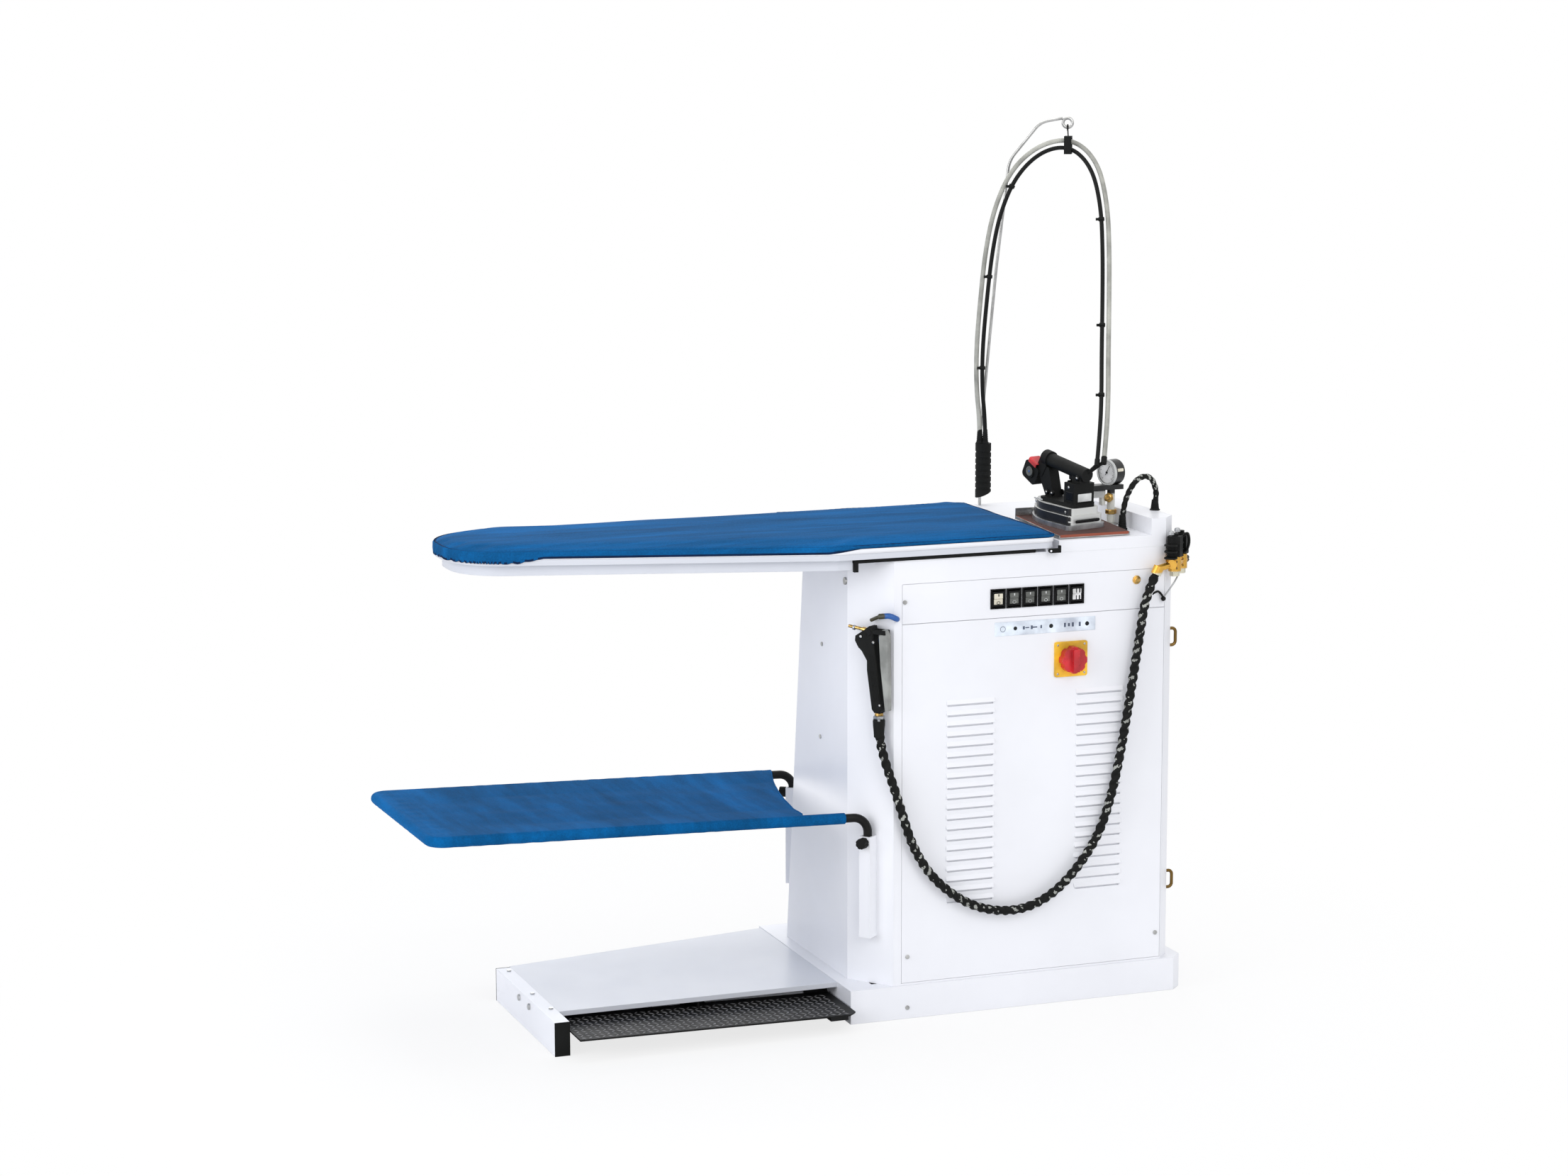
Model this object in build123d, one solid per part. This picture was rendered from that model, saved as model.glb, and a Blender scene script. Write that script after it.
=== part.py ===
from build123d import *
import math
import os

# Vacuum ironing table with built-in boiler, iron, steam gun and linen tray.
# All sizes are in millimetres. While it is being built the model stands in the
# machine's own axes: X runs along the front towards the cabinet's right side, Y runs
# away from the operator, Z is up, and zero is the base plinth's front left foot
# corner. The last step moves everything so that zero is the middle of the footprint.

# Sheet metal and running clearances
SHEET = 3.0
SEAM = 0.5
AIR = 0.3
RUNNING_FIT = 0.05

# Base plinth
BASE_LENGTH = 680.0
BASE_DEPTH = 495.0
BASE_HEIGHT = 63.0
BASE_CORNER = 22.0
BASE_FLANGE = 28.0
BASE_BEAM = 40.0
BEAM_Y = (148.5, 346.5)

# Cabinet
CAB_MARGIN = 25.0
CAB_LEFT = CAB_MARGIN
CAB_RIGHT = BASE_LENGTH - CAB_MARGIN
CAB_FRONT = 3.0
CAB_BACK = 490.0
CAB_TOP = 855.0
COLUMN_CUT_X = 60.0
COLUMN_CUT_Y = 79.0
CORNER_CUT_X = 25.0
CORNER_CUT_Y = 27.0
REAR_CUT_X = 60.0
REAR_CUT_Y = 85.0
TAPER_START = BASE_HEIGHT
TAPER_DEPTH = 98.5

# Front panel, control strip and their louvres
PANEL_LEFT = 101.0
PANEL_RIGHT = CAB_RIGHT - 26.0
PANEL_FOOT = 67.0
STRIP_HEADROOM = 41.0
STRIP_HEIGHT = 74.0
STRIP_TOP = CAB_TOP - STRIP_HEADROOM
STRIP_FOOT = STRIP_TOP - STRIP_HEIGHT
BACK_LEFT = 134.0
BACK_TOP = 560.0
LEDGE = 12.0
LOUVRE_LENGTH = 96.0
LOUVRE_PITCH = 19.5
LOUVRE_COUNT = 20
LOUVRE_HOOD = 8.0
LOUVRE_RISE = 4.0
LOUVRE_SLOT = 4.0
LOUVRE_X = (PANEL_LEFT + 136.0, PANEL_RIGHT - 132.0)
LOUVRE_TOP = (STRIP_FOOT - 146.5, STRIP_FOOT - 143.0)
OUTLET_COUNT = 5
OUTLET_PITCH = 19.0

# Deck on top of the cabinet
DECK_SHEET = 3.0
SHELF_LEFT = 412.0
SHELF_HEIGHT = 19.0
HOUSING_LEFT = CAB_RIGHT - 55.0
HOUSING_DEPTH = 310.0
HOUSING_HEIGHT = 31.0

# Ironing board
BOARD_LEFT = -690.0
BOARD_RIGHT = 404.0
BOARD_FRONT = -11.0
BOARD_REAR = 430.0
TAPER_X = -25.0
NOSE_FRONT = 178.0
NOSE_R_FRONT = 120.0
NOSE_R_REAR = 125.0
HEEL_R = 24.0
GASKET = 8.0
RIM_HEIGHT = 18.0
NOSE_DEPTH = 38.0
PLATE = 1.5
FOAM = 10.0
COVER = 2.5
COVER_SKIRT = 5.0
GASKET_WIDTH = 14.0
GASKET_INSET = 4.0

# Toggle latch at the board's heel
LATCH_WIDTH = 16.0
LATCH_THICK = 6.0
LATCH_LENGTH = 20.0
LATCH_HALF = 4.0
LATCH_NOSE = 5.0
LATCH_PIN_R = 2.0

# Suction: duct, scroll housing, motor and impeller
DUCT_X = 190.0
DUCT_Y = 285.0
DUCT_SIZE = 130.0
DUCT_WALL = 2.0
SCROLL_RADIUS = 135.0
SCROLL_FOOT = 250.0
SCROLL_HEIGHT = 90.0
EYE_RADIUS = 52.0
IMPELLER_RADIUS = 108.0
IMPELLER_HEIGHT = 46.0
IMPELLER_BLADES = 8
MOTOR_RADIUS = 62.0
MOTOR_STAND = 77.0
MOTOR_FOOT = 30.0
MOTOR_FLANGE = 6.0
FLANGE_RADIUS = 74.0
SHAFT_RADIUS = 8.0
SHAFT_DEPTH = 40.0
HUB_RADIUS = 21.0
IMPELLER_GAP = 10.0
BLADE_INNER = 52.0
BLADE_LENGTH = 54.0
BLADE_TURN = 28.0
BLADE_THICK = 2.4

# Boiler, feed tank and electrical box
BOILER_RADIUS = 100.0
BOILER_LENGTH = 270.0
BOILER_WALL = 4.0
BOILER_Y = 340.0
BOILER_LEFT = CAB_RIGHT - 290.0
BOILER_GAP = 30.0
BOILER_FLANGE = (60.0, 10.0)
BOILER_NECK = (60.0, 12.0, 34.0)
SADDLE_X = (BOILER_LEFT + 40.0, BOILER_LEFT + 200.0)
SADDLE_WIDTH = 30.0
SADDLE_REAR = 400.0
ELEMENT_COUNT = 3
ELEMENT_RING = 35.0
ELEMENT_RADIUS = 5.0
ELEMENT_LENGTH = 210.0
TANK_LENGTH = 150.0
TANK_DEPTH = 130.0
TANK_HEIGHT = 200.0
TANK_RIGHT = CAB_RIGHT - 33.0
TANK_FRONT = 45.0
TANK_WALL = 4.0
PUMP_RADIUS = 28.0
PUMP_LENGTH = 110.0
PUMP_LIFT = 6.0
PUMP_STAND = 32.0
PUMP_PIPE = (20.0, 7.0)
CONTROL_LEFT = 262.0
CONTROL_RIGHT = 500.0
CONTROL_FRONT = 36.0
CONTROL_DEPTH = 80.0
CONTROL_FOOT = STRIP_FOOT - 130.0
CONTROL_TOP = STRIP_TOP - 8.0
CONTROL_ARM = 12.0

# Leg plate in front of and under the board
LEG_LENGTH = 566.0
LEG_HEIGHT = 62.0
LEG_FRONT = 70.0
LEG_END_DEPTH = 387.0
LEG_BASE_DEPTH = 484.0
LEG_BEAM_WIDTH = 28.0
LEG_LIP = 6.0
RUNNER = 38.0
RUNNER_WALL = 3.0
RUNNER_Y = (165.0, 300.0)
CAP_THICKNESS = 3.0
CAP_PLUG = 12.0

# Cord hooks on the right side
CORD_HOOK_WIRE = 3.0
CORD_HOOK_REACH = 14.0
CORD_HOOK_HEIGHT = 32.0
CORD_HOOK_Z = (STRIP_FOOT - 64.0, PANEL_FOOT + 141.0)

# Screws that show and the column's blanking plug
SCREW_R = 4.0
SCREW_RISE = 2.0
BOLT_R = 6.0
BOLT_RISE = 3.0
PLUG_R = 7.0

# Foot pedal
PEDAL_FRONT = -50.0
PEDAL_TOP_LEFT = 42.0
PEDAL_TOP_RIGHT = 35.0
PEDAL_PLATE = 3.0
PEDAL_GAP = 4.0
PEDAL_PIVOT_Y = 120.0
PEDAL_PIVOT_Z = 34.0
PEDAL_PIVOT_R = 5.0
PEDAL_BARREL_R = 9.0
PEDAL_KNUCKLE = 46.0
PEDAL_CORNER = 16.0
PEDAL_LUG_LENGTH = 34.0
PEDAL_LUG_WIDTH = 40.0
PEDAL_LUG_DEPTH = 8.0
PEDAL_STOP_X = -269.0
PEDAL_STOP_R = 3.0
SWITCH_LENGTH = 44.0
SWITCH_DEPTH = 18.0
SWITCH_HEIGHT = 20.0
SWITCH_LEVER = 2.5
SWITCH_REACH = 25.0

# Linen tray
TUBE_RADIUS = 8.0
TUBE_WALL = 1.5
TRAY_LEFT = -775.0
TRAY_BEND_Z = 380.0
TRAY_RISE = 23.0
TRAY_DROP = 9.0
TRAY_BEND_R = 29.0
TRAY_CORNER_R = 24.0
CLOTH = 2.1
CLOTH_MARGIN = 17.0
CLOTH_CUT = 79.0
CLOTH_BOW = 36.0
GUIDE_FRONT_S = 51.0
GUIDE_REAR_S = 77.0
GUIDE_TOP = 345.0
TRAY_SPLIT = 2.0
GUIDE_FOOT = 154.0
GUIDE_WALL = 3.4
GUIDE_CLEAR = 0.3
GUIDE_HALF = TUBE_RADIUS + GUIDE_CLEAR + GUIDE_WALL
GUIDE_WEDGE = 20.0
KNOB_Z = 334.0
KNOB_RADIUS = 10.0
KNOB_LENGTH = 14.0
KNOB_STUD = 4.0
KNOB_NOTCH_R = 2.0
KNOB_NOTCHES = 8
STUD_CLEAR = 2.0

# Rocker switches, main switch
ROCKER_COUNT = 6
ROCKER_PITCH = 31.6
ROCKER_FIRST_X = 290.0
ROCKER_Z = STRIP_FOOT + 36.0
BEZEL_WIDTH = 30.0
BEZEL_HEIGHT = 37.0
BEZEL_RISE = 2.0
BEZEL_DEPTH = 24.0
ROCKER_WIDTH = 23.0
ROCKER_HEIGHT = 28.0
ROCKER_SWING = 4.6
ROCKER_CLEAR = 0.5
MAIN_X = 437.0
MAIN_Z = STRIP_FOOT - 85.0
MAIN_PLATE = 66.0
MAIN_PLATE_THICK = 4.0
MAIN_KNOB_R = 25.0
MAIN_KNOB_RISE = 26.0
MAIN_SHAFT_R = 5.0

# Steam gun on the column's front facet, set out along that facet
GUN_S = 66.0
GUN_STAND = 17.0
GUN_Z = 686.0
GUN_LENGTH = 107.0
GUN_BACK = 5.0
GUN_WAIST = 13.5
GUN_LEAN = 12.0
GUN_THICK = 22.0
GUN_HEAD_WIDTH = 39.0
GUN_HEAD_HEIGHT = 53.0
GUN_SEAT_WIDTH = 11.0
GUN_EAR = 3.0
NOZZLE_R = 3.0
NOZZLE_TIP = (-52.0, 48.0)
NOZZLE_ROOT = (-10.0, 43.2)
NOZZLE_NUT_R = 4.5
NOZZLE_NUT = 12.0
TAIL_FOOT = -112.0
TAIL_R = 8.0
TRIGGER_X = 24.0
TRIGGER_Z = 43.0
TRIGGER_REACH = 9.0
TRIGGER_THICK = 12.0
TRIGGER_WALL = 1.6
TRIGGER_FOOT = -101.0
TRIGGER_BOSS_R = 5.0
TRIGGER_PIVOT_R = 2.0
HOOK_WIRE_R = 3.4
HOOK_SLEEVE_R = 5.2
HOOK_POINTS = ((88, 3, 752.5), (88, -10, 752.5), (72, -9, 760.5), (59, 9, 757), (52.4, 32.7, 747))
HOOK_RADII = (7.0, 10.0, 30.0)

# Steam valves on the right front corner
VALVE_STAND = 18.0
VALVE_SPREAD = 20.0
VALVE_Z = 823.0
VALVE_PIPE_R = 9.0
VALVE_BODY_R = 12.0
VALVE_BODY_HEIGHT = 28.0
COIL_SIZE = 25.0
COIL_HEIGHT = 38.0
VALVE_KNOB_R = 8.5
VALVE_KNOB_LENGTH = 14.0
FITTING_R = 9.5

# Hose hanger
HANGER_X = 462.0
HANGER_Y = 470.0
SLEEVE_RADIUS = 15.5
SLEEVE_FOOT = 893.0
SLEEVE_SLANT = 13.0
SLEEVE_RINGS = 8
SLEEVE_PITCH = 12.0
SLEEVE_TOP = 1000.0
ROD_RADIUS = 3.0
EYE_RING = 9.0
ROD_FOOT = (-4.0, 7.0)
ROD_POINTS = ((458, 477, 1010), (484, 464, 1340), (502, 446, 1550), (552, 412, 1624), (590, 393, 1632))
ROD_RADII = (400.0, 500.0, 60.0, 40.0)
CLIP_POINT = (592.3, 371.7, 1581.5)
CLIP_TURN = -29.0
CLIP_LENGTH = 14.0
CLIP_WIDTH = 30.0
CLIP_HEIGHT = 34.0
CLIP_WALL = 3.0
LINK_R = 1.6
LINK_BAR_R = 1.2

# Iron and its rest
REST_LEFT = 418.0
REST_RIGHT = 562.0
REST_FRONT = 16.0
REST_DEPTH = 200.0
REST_TILT = 2.7
REST_LIFT = 1.0
REST_SHEET = 2.0
REST_RIM = 4.0
REST_BACK = 14.0
MAT = 5.0
IRON_X = 474.0
IRON_Y = 133.0
IRON_TURN = 103.5
SOLE_LENGTH = 162.0
SOLE_WIDTH = 90.0
SOLE_THICK = 9.0
SHROUD_HEIGHT = 30.0
SHROUD_INSET = 4.0
SHROUD_STEP = 5.0
GUARD_HEIGHT = 8.0
GUARD_START = -72.0
GUARD_LENGTH = 106.0
GUARD_WIDTH = 54.0
REAR_BLOCK_LENGTH = 34.0
REAR_BLOCK_WIDTH = 48.0
REAR_BLOCK_TOP = 84.0
GRIP_REAR = -76.0
GRIP_FRONT = 48.0
GRIP_HEIGHT = 100.0
GRIP_RISE = 15.0
GRIP_RADIUS = 13.0
HEAD_X = 77.0
HEAD_Z = 84.0
HEAD_TILT = 25.0
HEAD_LENGTH = 43.0
HEAD_WIDTH = 30.0
HEAD_HEIGHT = 36.0
HEAD_DISC_R = 11.0
BUTTON_LENGTH = 30.0
BUTTON_WIDTH = 15.0
BUTTON_RISE = 3.5
BUTTON_DEPTH = 5.0
BUTTON_TRAVEL = 3.0
IRON_TAIL = 14.0

# Pressure gauge on its bracket
GAUGE_X = 590.0
GAUGE_Y = 158.0
GAUGE_Z = 976.0
GAUGE_RADIUS = 24.0
GAUGE_DEPTH = 26.0
GAUGE_TURN = 200.0
BRACKET_LENGTH = 72.0
BRACKET_END = 20.0
BRACKET_WIDTH = 26.0
BRACKET_THICK = 9.0
BRACKET_SKIRT = 14.0
BRACKET_LEG = 7.0
BRACKET_DROP = 16.0
STANDPIPE_R = 7.5

# Cords: routes chosen by hand to follow the hoses as they hang
GUN_HOSE_D = 18.0
GUN_HOSE = (
    (58.7, 9.5, 574), (58.7, 9.5, 534), (66, -1, 490), (80, -9, 444), (95, -13, 394), (114, -15, 332),
    (150, -15, 272), (206, -15, 222), (268, -15, 194), (336, -15, 189), (396, -15, 212), (447, -15, 258),
    (490, -15, 318), (515, -15, 388), (532, -15, 464), (546, -15, 544), (559, -15, 624), (571, -15, 700),
    (580, -16, 764), (600, -17, 806))
IRON_HOSE_D = 9.0
IRON_HOSE = (
    (453, 467, 1000), (453, 467, 1042), (445, 467, 1110), (443, 463, 1190), (447, 455, 1280),
    (453, 445, 1380), (467, 434, 1464), (497, 420, 1538), (546, 396, 1584), (602, 369, 1594),
    (642, 342, 1550), (646, 306, 1470), (632, 266, 1384), (608, 214, 1284), (582, 160, 1196),
    (560, 112, 1126), (538, 70, 1072), (519, 40, 1022))
IRON_CABLE_D = 8.0
IRON_CABLE = (
    (462, 461, 1000), (462, 461, 1042), (455, 462, 1110), (454, 458, 1190), (458, 449, 1280),
    (465, 439, 1380), (478, 428, 1458), (505, 414, 1526), (548, 393, 1571), (596, 369, 1580),
    (630, 344, 1540), (634, 310, 1468), (620, 270, 1384), (596, 218, 1284), (570, 164, 1196),
    (548, 116, 1126), (526, 74, 1070), (507, 44, 1018))
LOOP_CABLE_D = 11.0
LOOP_CABLE = (
    (578, 82, 877), (578, 82, 908), (588, 84, 944), (612, 88, 974), (642, 94, 974), (657, 99, 944),
    (654, 100, 918), (654, 100, 908))


def block(x0, x1, y0, y1, z0, z1):
    """Rectangular solid between two corners."""
    return Pos((x0 + x1) / 2, (y0 + y1) / 2, (z0 + z1) / 2) * Box(x1 - x0, y1 - y0, z1 - z0)


def bar(start, end, radius):
    """Round rod from one point to another."""
    a, b = Vector(*start), Vector(*end)
    run = b - a
    stand = Plane(origin=a, z_dir=run.normalized())
    return stand.location * Cylinder(radius, run.length, align=(Align.CENTER, Align.CENTER, Align.MIN))


def prism(points, z0, z1):
    """Upright prism over a closed outline."""
    outline = make_face(Polyline(*points, close=True))
    return Pos(0, 0, z0) * extrude(outline, amount=z1 - z0)


def swept(points, radii, section):
    """Section swept along straight runs joined by tangent arcs."""
    path = FilletPolyline(*points, radius=radii)
    start = Plane(origin=path @ 0, z_dir=path % 0)
    return sweep(start * section, path=path)


def frame_of(origin, x_dir, z_dir=(0, 0, 1)):
    """Location with its own X and Z directions."""
    return Plane(origin=origin, x_dir=x_dir, z_dir=z_dir).location


def corner_points(x0, y0, sx, sy, cut_x, cut_y, inset):
    """Two ends of a cut corner, after the walls move in by inset."""
    slope = math.sqrt(1 / cut_x**2 + 1 / cut_y**2)
    on_side = (x0 + sx * inset, y0 + sy * cut_y * (1 + inset * slope - inset / cut_x))
    on_face = (x0 + sx * cut_x * (1 + inset * slope - inset / cut_y), y0 + sy * inset)
    return on_side, on_face


def cabinet_plan(inset):
    """Cabinet outline seen from above, with its four cut corners."""
    a, b = corner_points(CAB_LEFT, CAB_FRONT, 1, 1, COLUMN_CUT_X, COLUMN_CUT_Y, inset)
    c, d = corner_points(CAB_RIGHT, CAB_FRONT, -1, 1, CORNER_CUT_X, CORNER_CUT_Y, inset)
    e, f = corner_points(CAB_RIGHT, CAB_BACK, -1, -1, CORNER_CUT_X, CORNER_CUT_Y, inset)
    g, h = corner_points(CAB_LEFT, CAB_BACK, 1, -1, REAR_CUT_X, REAR_CUT_Y, inset)
    return [a, b, d, c, e, f, h, g]


def taper_cutter(inset):
    """Everything outside the column's rear facet, which leans in from the plinth to the top."""
    low = Vector(CAB_LEFT, CAB_BACK - REAR_CUT_Y, TAPER_START)
    along = Vector(REAR_CUT_X, REAR_CUT_Y, 0).normalized()
    up = Vector(0, -TAPER_DEPTH, CAB_TOP - TAPER_START).normalized()
    out = up.cross(along).normalized()
    if out.X > 0:
        out = out * -1
    size = 4 * CAB_TOP
    place = Plane(origin=low - out * inset, x_dir=along, z_dir=out).location
    return place * Box(size, size, size, align=(Align.CENTER, Align.CENTER, Align.MIN))


def cabinet_body(inset, z0, z1):
    """Solid cabinet form between two heights, walls moved in by inset."""
    return prism(cabinet_plan(inset), z0, z1) - taper_cutter(inset)


# Directions of the column's two facets and of the right front corner
FACET_LENGTH = math.hypot(COLUMN_CUT_X, COLUMN_CUT_Y)
FACET_ALONG = Vector(COLUMN_CUT_X, -COLUMN_CUT_Y, 0).normalized()
FACET_OUT = Vector(-COLUMN_CUT_Y, -COLUMN_CUT_X, 0).normalized()
FACET_START = Vector(CAB_LEFT, CAB_FRONT + COLUMN_CUT_Y, 0)
REAR_OUT = Vector(-REAR_CUT_Y, REAR_CUT_X, 0).normalized()
REAR_START = Vector(CAB_LEFT, CAB_BACK - REAR_CUT_Y, 0)
REAR_ALONG = Vector(REAR_CUT_X, REAR_CUT_Y, 0).normalized()
CORNER_ALONG = Vector(CORNER_CUT_X, CORNER_CUT_Y, 0).normalized()
CORNER_OUT = Vector(CORNER_CUT_Y, -CORNER_CUT_X, 0).normalized()
CORNER_MID = Vector(CAB_RIGHT - CORNER_CUT_X / 2, CAB_FRONT + CORNER_CUT_Y / 2, 0)

# Levels of the board stack, from the cabinet's top up
DECK_TOP = CAB_TOP + DECK_SHEET
RIM_FOOT = DECK_TOP + GASKET
RIM_TOP = RIM_FOOT + RIM_HEIGHT
FOAM_FOOT = RIM_TOP + PLATE
FOAM_TOP = FOAM_FOOT + FOAM
SHELF_TOP = DECK_TOP + SHELF_HEIGHT
HOUSING_TOP = SHELF_TOP + HOUSING_HEIGHT


def facet_point(s, out, z):
    """Point at distance s along the front facet and out from it."""
    return FACET_START + FACET_ALONG * s + FACET_OUT * out + Vector(0, 0, z)


def base_pan():
    corner = [
        (0, 0), (BASE_LENGTH - BASE_CORNER, 0), (BASE_LENGTH, BASE_CORNER),
        (BASE_LENGTH, BASE_DEPTH - BASE_CORNER), (BASE_LENGTH - BASE_CORNER, BASE_DEPTH), (0, BASE_DEPTH)]
    inner = [
        (SHEET, SHEET), (BASE_LENGTH - BASE_CORNER - SHEET / 2, SHEET),
        (BASE_LENGTH - SHEET, BASE_CORNER + SHEET / 2),
        (BASE_LENGTH - SHEET, BASE_DEPTH - BASE_CORNER - SHEET / 2),
        (BASE_LENGTH - BASE_CORNER - SHEET / 2, BASE_DEPTH - SHEET), (SHEET, BASE_DEPTH - SHEET)]
    pan = prism(corner, 0, BASE_HEIGHT) - prism(inner, SHEET, BASE_HEIGHT - SHEET)
    mouth = block(
        CAB_LEFT + BASE_FLANGE, CAB_RIGHT - BASE_FLANGE, CAB_FRONT + BASE_FLANGE, CAB_BACK - BASE_FLANGE,
        BASE_HEIGHT - SHEET, BASE_HEIGHT)
    pan = pan - mouth
    for y in BEAM_Y:
        pan = pan + block(
            SHEET, BASE_LENGTH - SHEET, y - BASE_BEAM / 2, y + BASE_BEAM / 2, SHEET, BASE_HEIGHT - SHEET)
    return pan


def leg_frame():
    """End beam, two runners back to the plinth and the pedal's shaft, welded up."""
    x0 = -LEG_LENGTH
    x1 = x0 + LEG_BEAM_WIDTH
    end = block(x0, x1, CAP_THICKNESS, LEG_END_DEPTH - CAP_THICKNESS, 0, LEG_HEIGHT)
    end = end - block(
        x0 + RUNNER_WALL, x1 - RUNNER_WALL, CAP_THICKNESS, LEG_END_DEPTH - CAP_THICKNESS,
        RUNNER_WALL, LEG_HEIGHT - RUNNER_WALL)
    frame = end
    top = LEG_HEIGHT - SHEET
    for y in RUNNER_Y:
        runner = block(x1, 0, y, y + RUNNER, top - RUNNER, top)
        runner = runner - block(
            x1, 0, y + RUNNER_WALL, y + RUNNER - RUNNER_WALL, top - RUNNER + RUNNER_WALL, top - RUNNER_WALL)
        frame = frame + runner
    shaft = bar((x1, PEDAL_PIVOT_Y, PEDAL_PIVOT_Z), (0, PEDAL_PIVOT_Y, PEDAL_PIVOT_Z), PEDAL_PIVOT_R)
    return frame + shaft


def leg_slope(x):
    """Depth of the leg plate's rear edge at a given X."""
    share = (x + LEG_LENGTH) / LEG_LENGTH
    return LEG_END_DEPTH + (LEG_BASE_DEPTH - LEG_END_DEPTH) * share


def leg_cover():
    x0 = -LEG_LENGTH + LEG_BEAM_WIDTH
    rear = leg_slope(x0)
    plan = [(x0, LEG_FRONT), (0, LEG_FRONT), (0, LEG_BASE_DEPTH), (x0, rear)]
    skirt = [(x0, rear - SHEET), (0, LEG_BASE_DEPTH - SHEET), (0, LEG_BASE_DEPTH), (x0, rear)]
    cover = prism(plan, LEG_HEIGHT - SHEET, LEG_HEIGHT)
    cover = cover + prism(skirt, 0, LEG_HEIGHT - SHEET)
    lip = block(x0, 0, LEG_FRONT, LEG_FRONT + SHEET, LEG_HEIGHT - SHEET - LEG_LIP, LEG_HEIGHT - SHEET)
    return cover + lip


def leg_end_caps():
    x0 = -LEG_LENGTH
    x1 = x0 + LEG_BEAM_WIDTH
    gap = RUNNER_WALL + SEAM
    front = block(x0, x1, 0, CAP_THICKNESS, 0, LEG_HEIGHT)
    front = front + block(x0 + gap, x1 - gap, CAP_THICKNESS, CAP_THICKNESS + CAP_PLUG, gap, LEG_HEIGHT - gap)
    back_y = LEG_END_DEPTH
    rear = block(x0, x1, back_y - CAP_THICKNESS, back_y, 0, LEG_HEIGHT)
    rear = rear + block(
        x0 + gap, x1 - gap, back_y - CAP_THICKNESS - CAP_PLUG, back_y - CAP_THICKNESS, gap, LEG_HEIGHT - gap)
    return Compound(children=[front, rear])


def pedal_ends():
    return -LEG_LENGTH + LEG_BEAM_WIDTH + PEDAL_GAP, -PEDAL_GAP


def pedal_top(x):
    """Height of the pedal's tread, which falls a little from left to right."""
    x0, x1 = pedal_ends()
    return PEDAL_TOP_LEFT + (PEDAL_TOP_RIGHT - PEDAL_TOP_LEFT) * (x - x0) / (x1 - x0)


def foot_pedal():
    """Long tread plate on three knuckles, with a stop pin and a turned-down tab at its right end."""
    x0, x1 = pedal_ends()
    side = make_face(Polyline(
        (x0, pedal_top(x0)), (x1, pedal_top(x1)), (x1, pedal_top(x1) - PEDAL_PLATE),
        (x0, pedal_top(x0) - PEDAL_PLATE), close=True))
    rear = PEDAL_PIVOT_Y - PEDAL_BARREL_R - 1
    plate = Pos(0, rear, 0) * extrude(Plane.XZ * side, amount=rear - PEDAL_FRONT)
    corner = prism(
        [(x1 - PEDAL_CORNER, PEDAL_FRONT), (x1, PEDAL_FRONT + PEDAL_CORNER), (x1 + 1, PEDAL_FRONT - 1)],
        0, BASE_HEIGHT)
    plate = plate - corner
    lug_right = x1 - PEDAL_CORNER - 4
    lug_top = pedal_top(lug_right) - PEDAL_PLATE / 2
    plate = plate + block(
        lug_right - PEDAL_LUG_LENGTH, lug_right, PEDAL_FRONT, PEDAL_FRONT + PEDAL_LUG_WIDTH,
        lug_top - PEDAL_LUG_DEPTH, lug_top)
    middle = (x0 + x1) / 2
    pivot = (PEDAL_PIVOT_Y, PEDAL_PIVOT_Z)
    for start in (x0, middle - PEDAL_KNUCKLE / 2, x1 - PEDAL_KNUCKLE):
        end = start + PEDAL_KNUCKLE
        level = pedal_top((start + end) / 2)
        plate = plate + bar((start, *pivot), (end, *pivot), PEDAL_BARREL_R)
        plate = plate + block(start, end, rear - 2, PEDAL_PIVOT_Y, level - PEDAL_PLATE - 0.6, level + 0.6)
    plate = plate - bar((x0 - 1, *pivot), (x1 + 1, *pivot), PEDAL_PIVOT_R + RUNNING_FIT)
    stop_y = LEG_FRONT + SHEET + 2 * PEDAL_STOP_R
    stop_top = LEG_HEIGHT - SHEET - AIR
    stop_foot = pedal_top(PEDAL_STOP_X) - PEDAL_PLATE / 2
    return plate + bar((PEDAL_STOP_X, stop_y, stop_foot), (PEDAL_STOP_X, stop_y, stop_top), PEDAL_STOP_R)


def pedal_switch():
    """Microswitch box on the front runner, with its lever over the pedal's plate."""
    y = RUNNER_Y[0]
    top = LEG_HEIGHT - SHEET
    x0 = PEDAL_STOP_X - 2 * SWITCH_LENGTH
    front = y - SWITCH_DEPTH
    case = block(x0, x0 + SWITCH_LENGTH, front, y, top - SWITCH_HEIGHT, top)
    z = pedal_top(x0) + SWITCH_LEVER
    lever = block(x0, x0 + 2 * SWITCH_LEVER, PEDAL_PIVOT_Y - SWITCH_REACH, front, z, z + SWITCH_LEVER / 2)
    return case + lever


def panel_opening(y0, y1, z0, z1, grow=0.0):
    return block(PANEL_LEFT - grow, PANEL_RIGHT + grow, y0, y1, z0 - grow, z1 + grow)


def back_opening(y0, y1, grow=0.0):
    return block(BACK_LEFT - grow, PANEL_RIGHT + grow, y0, y1, PANEL_FOOT - grow, BACK_TOP + grow)


def side_opening(x0, x1, grow=0.0):
    """Opening for the side panel in the cabinet's right wall."""
    return block(
        x0, x1, CAB_FRONT + CORNER_CUT_Y + LEDGE - grow, CAB_BACK - CORNER_CUT_Y - LEDGE + grow,
        PANEL_FOOT - grow, STRIP_FOOT + grow)


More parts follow.
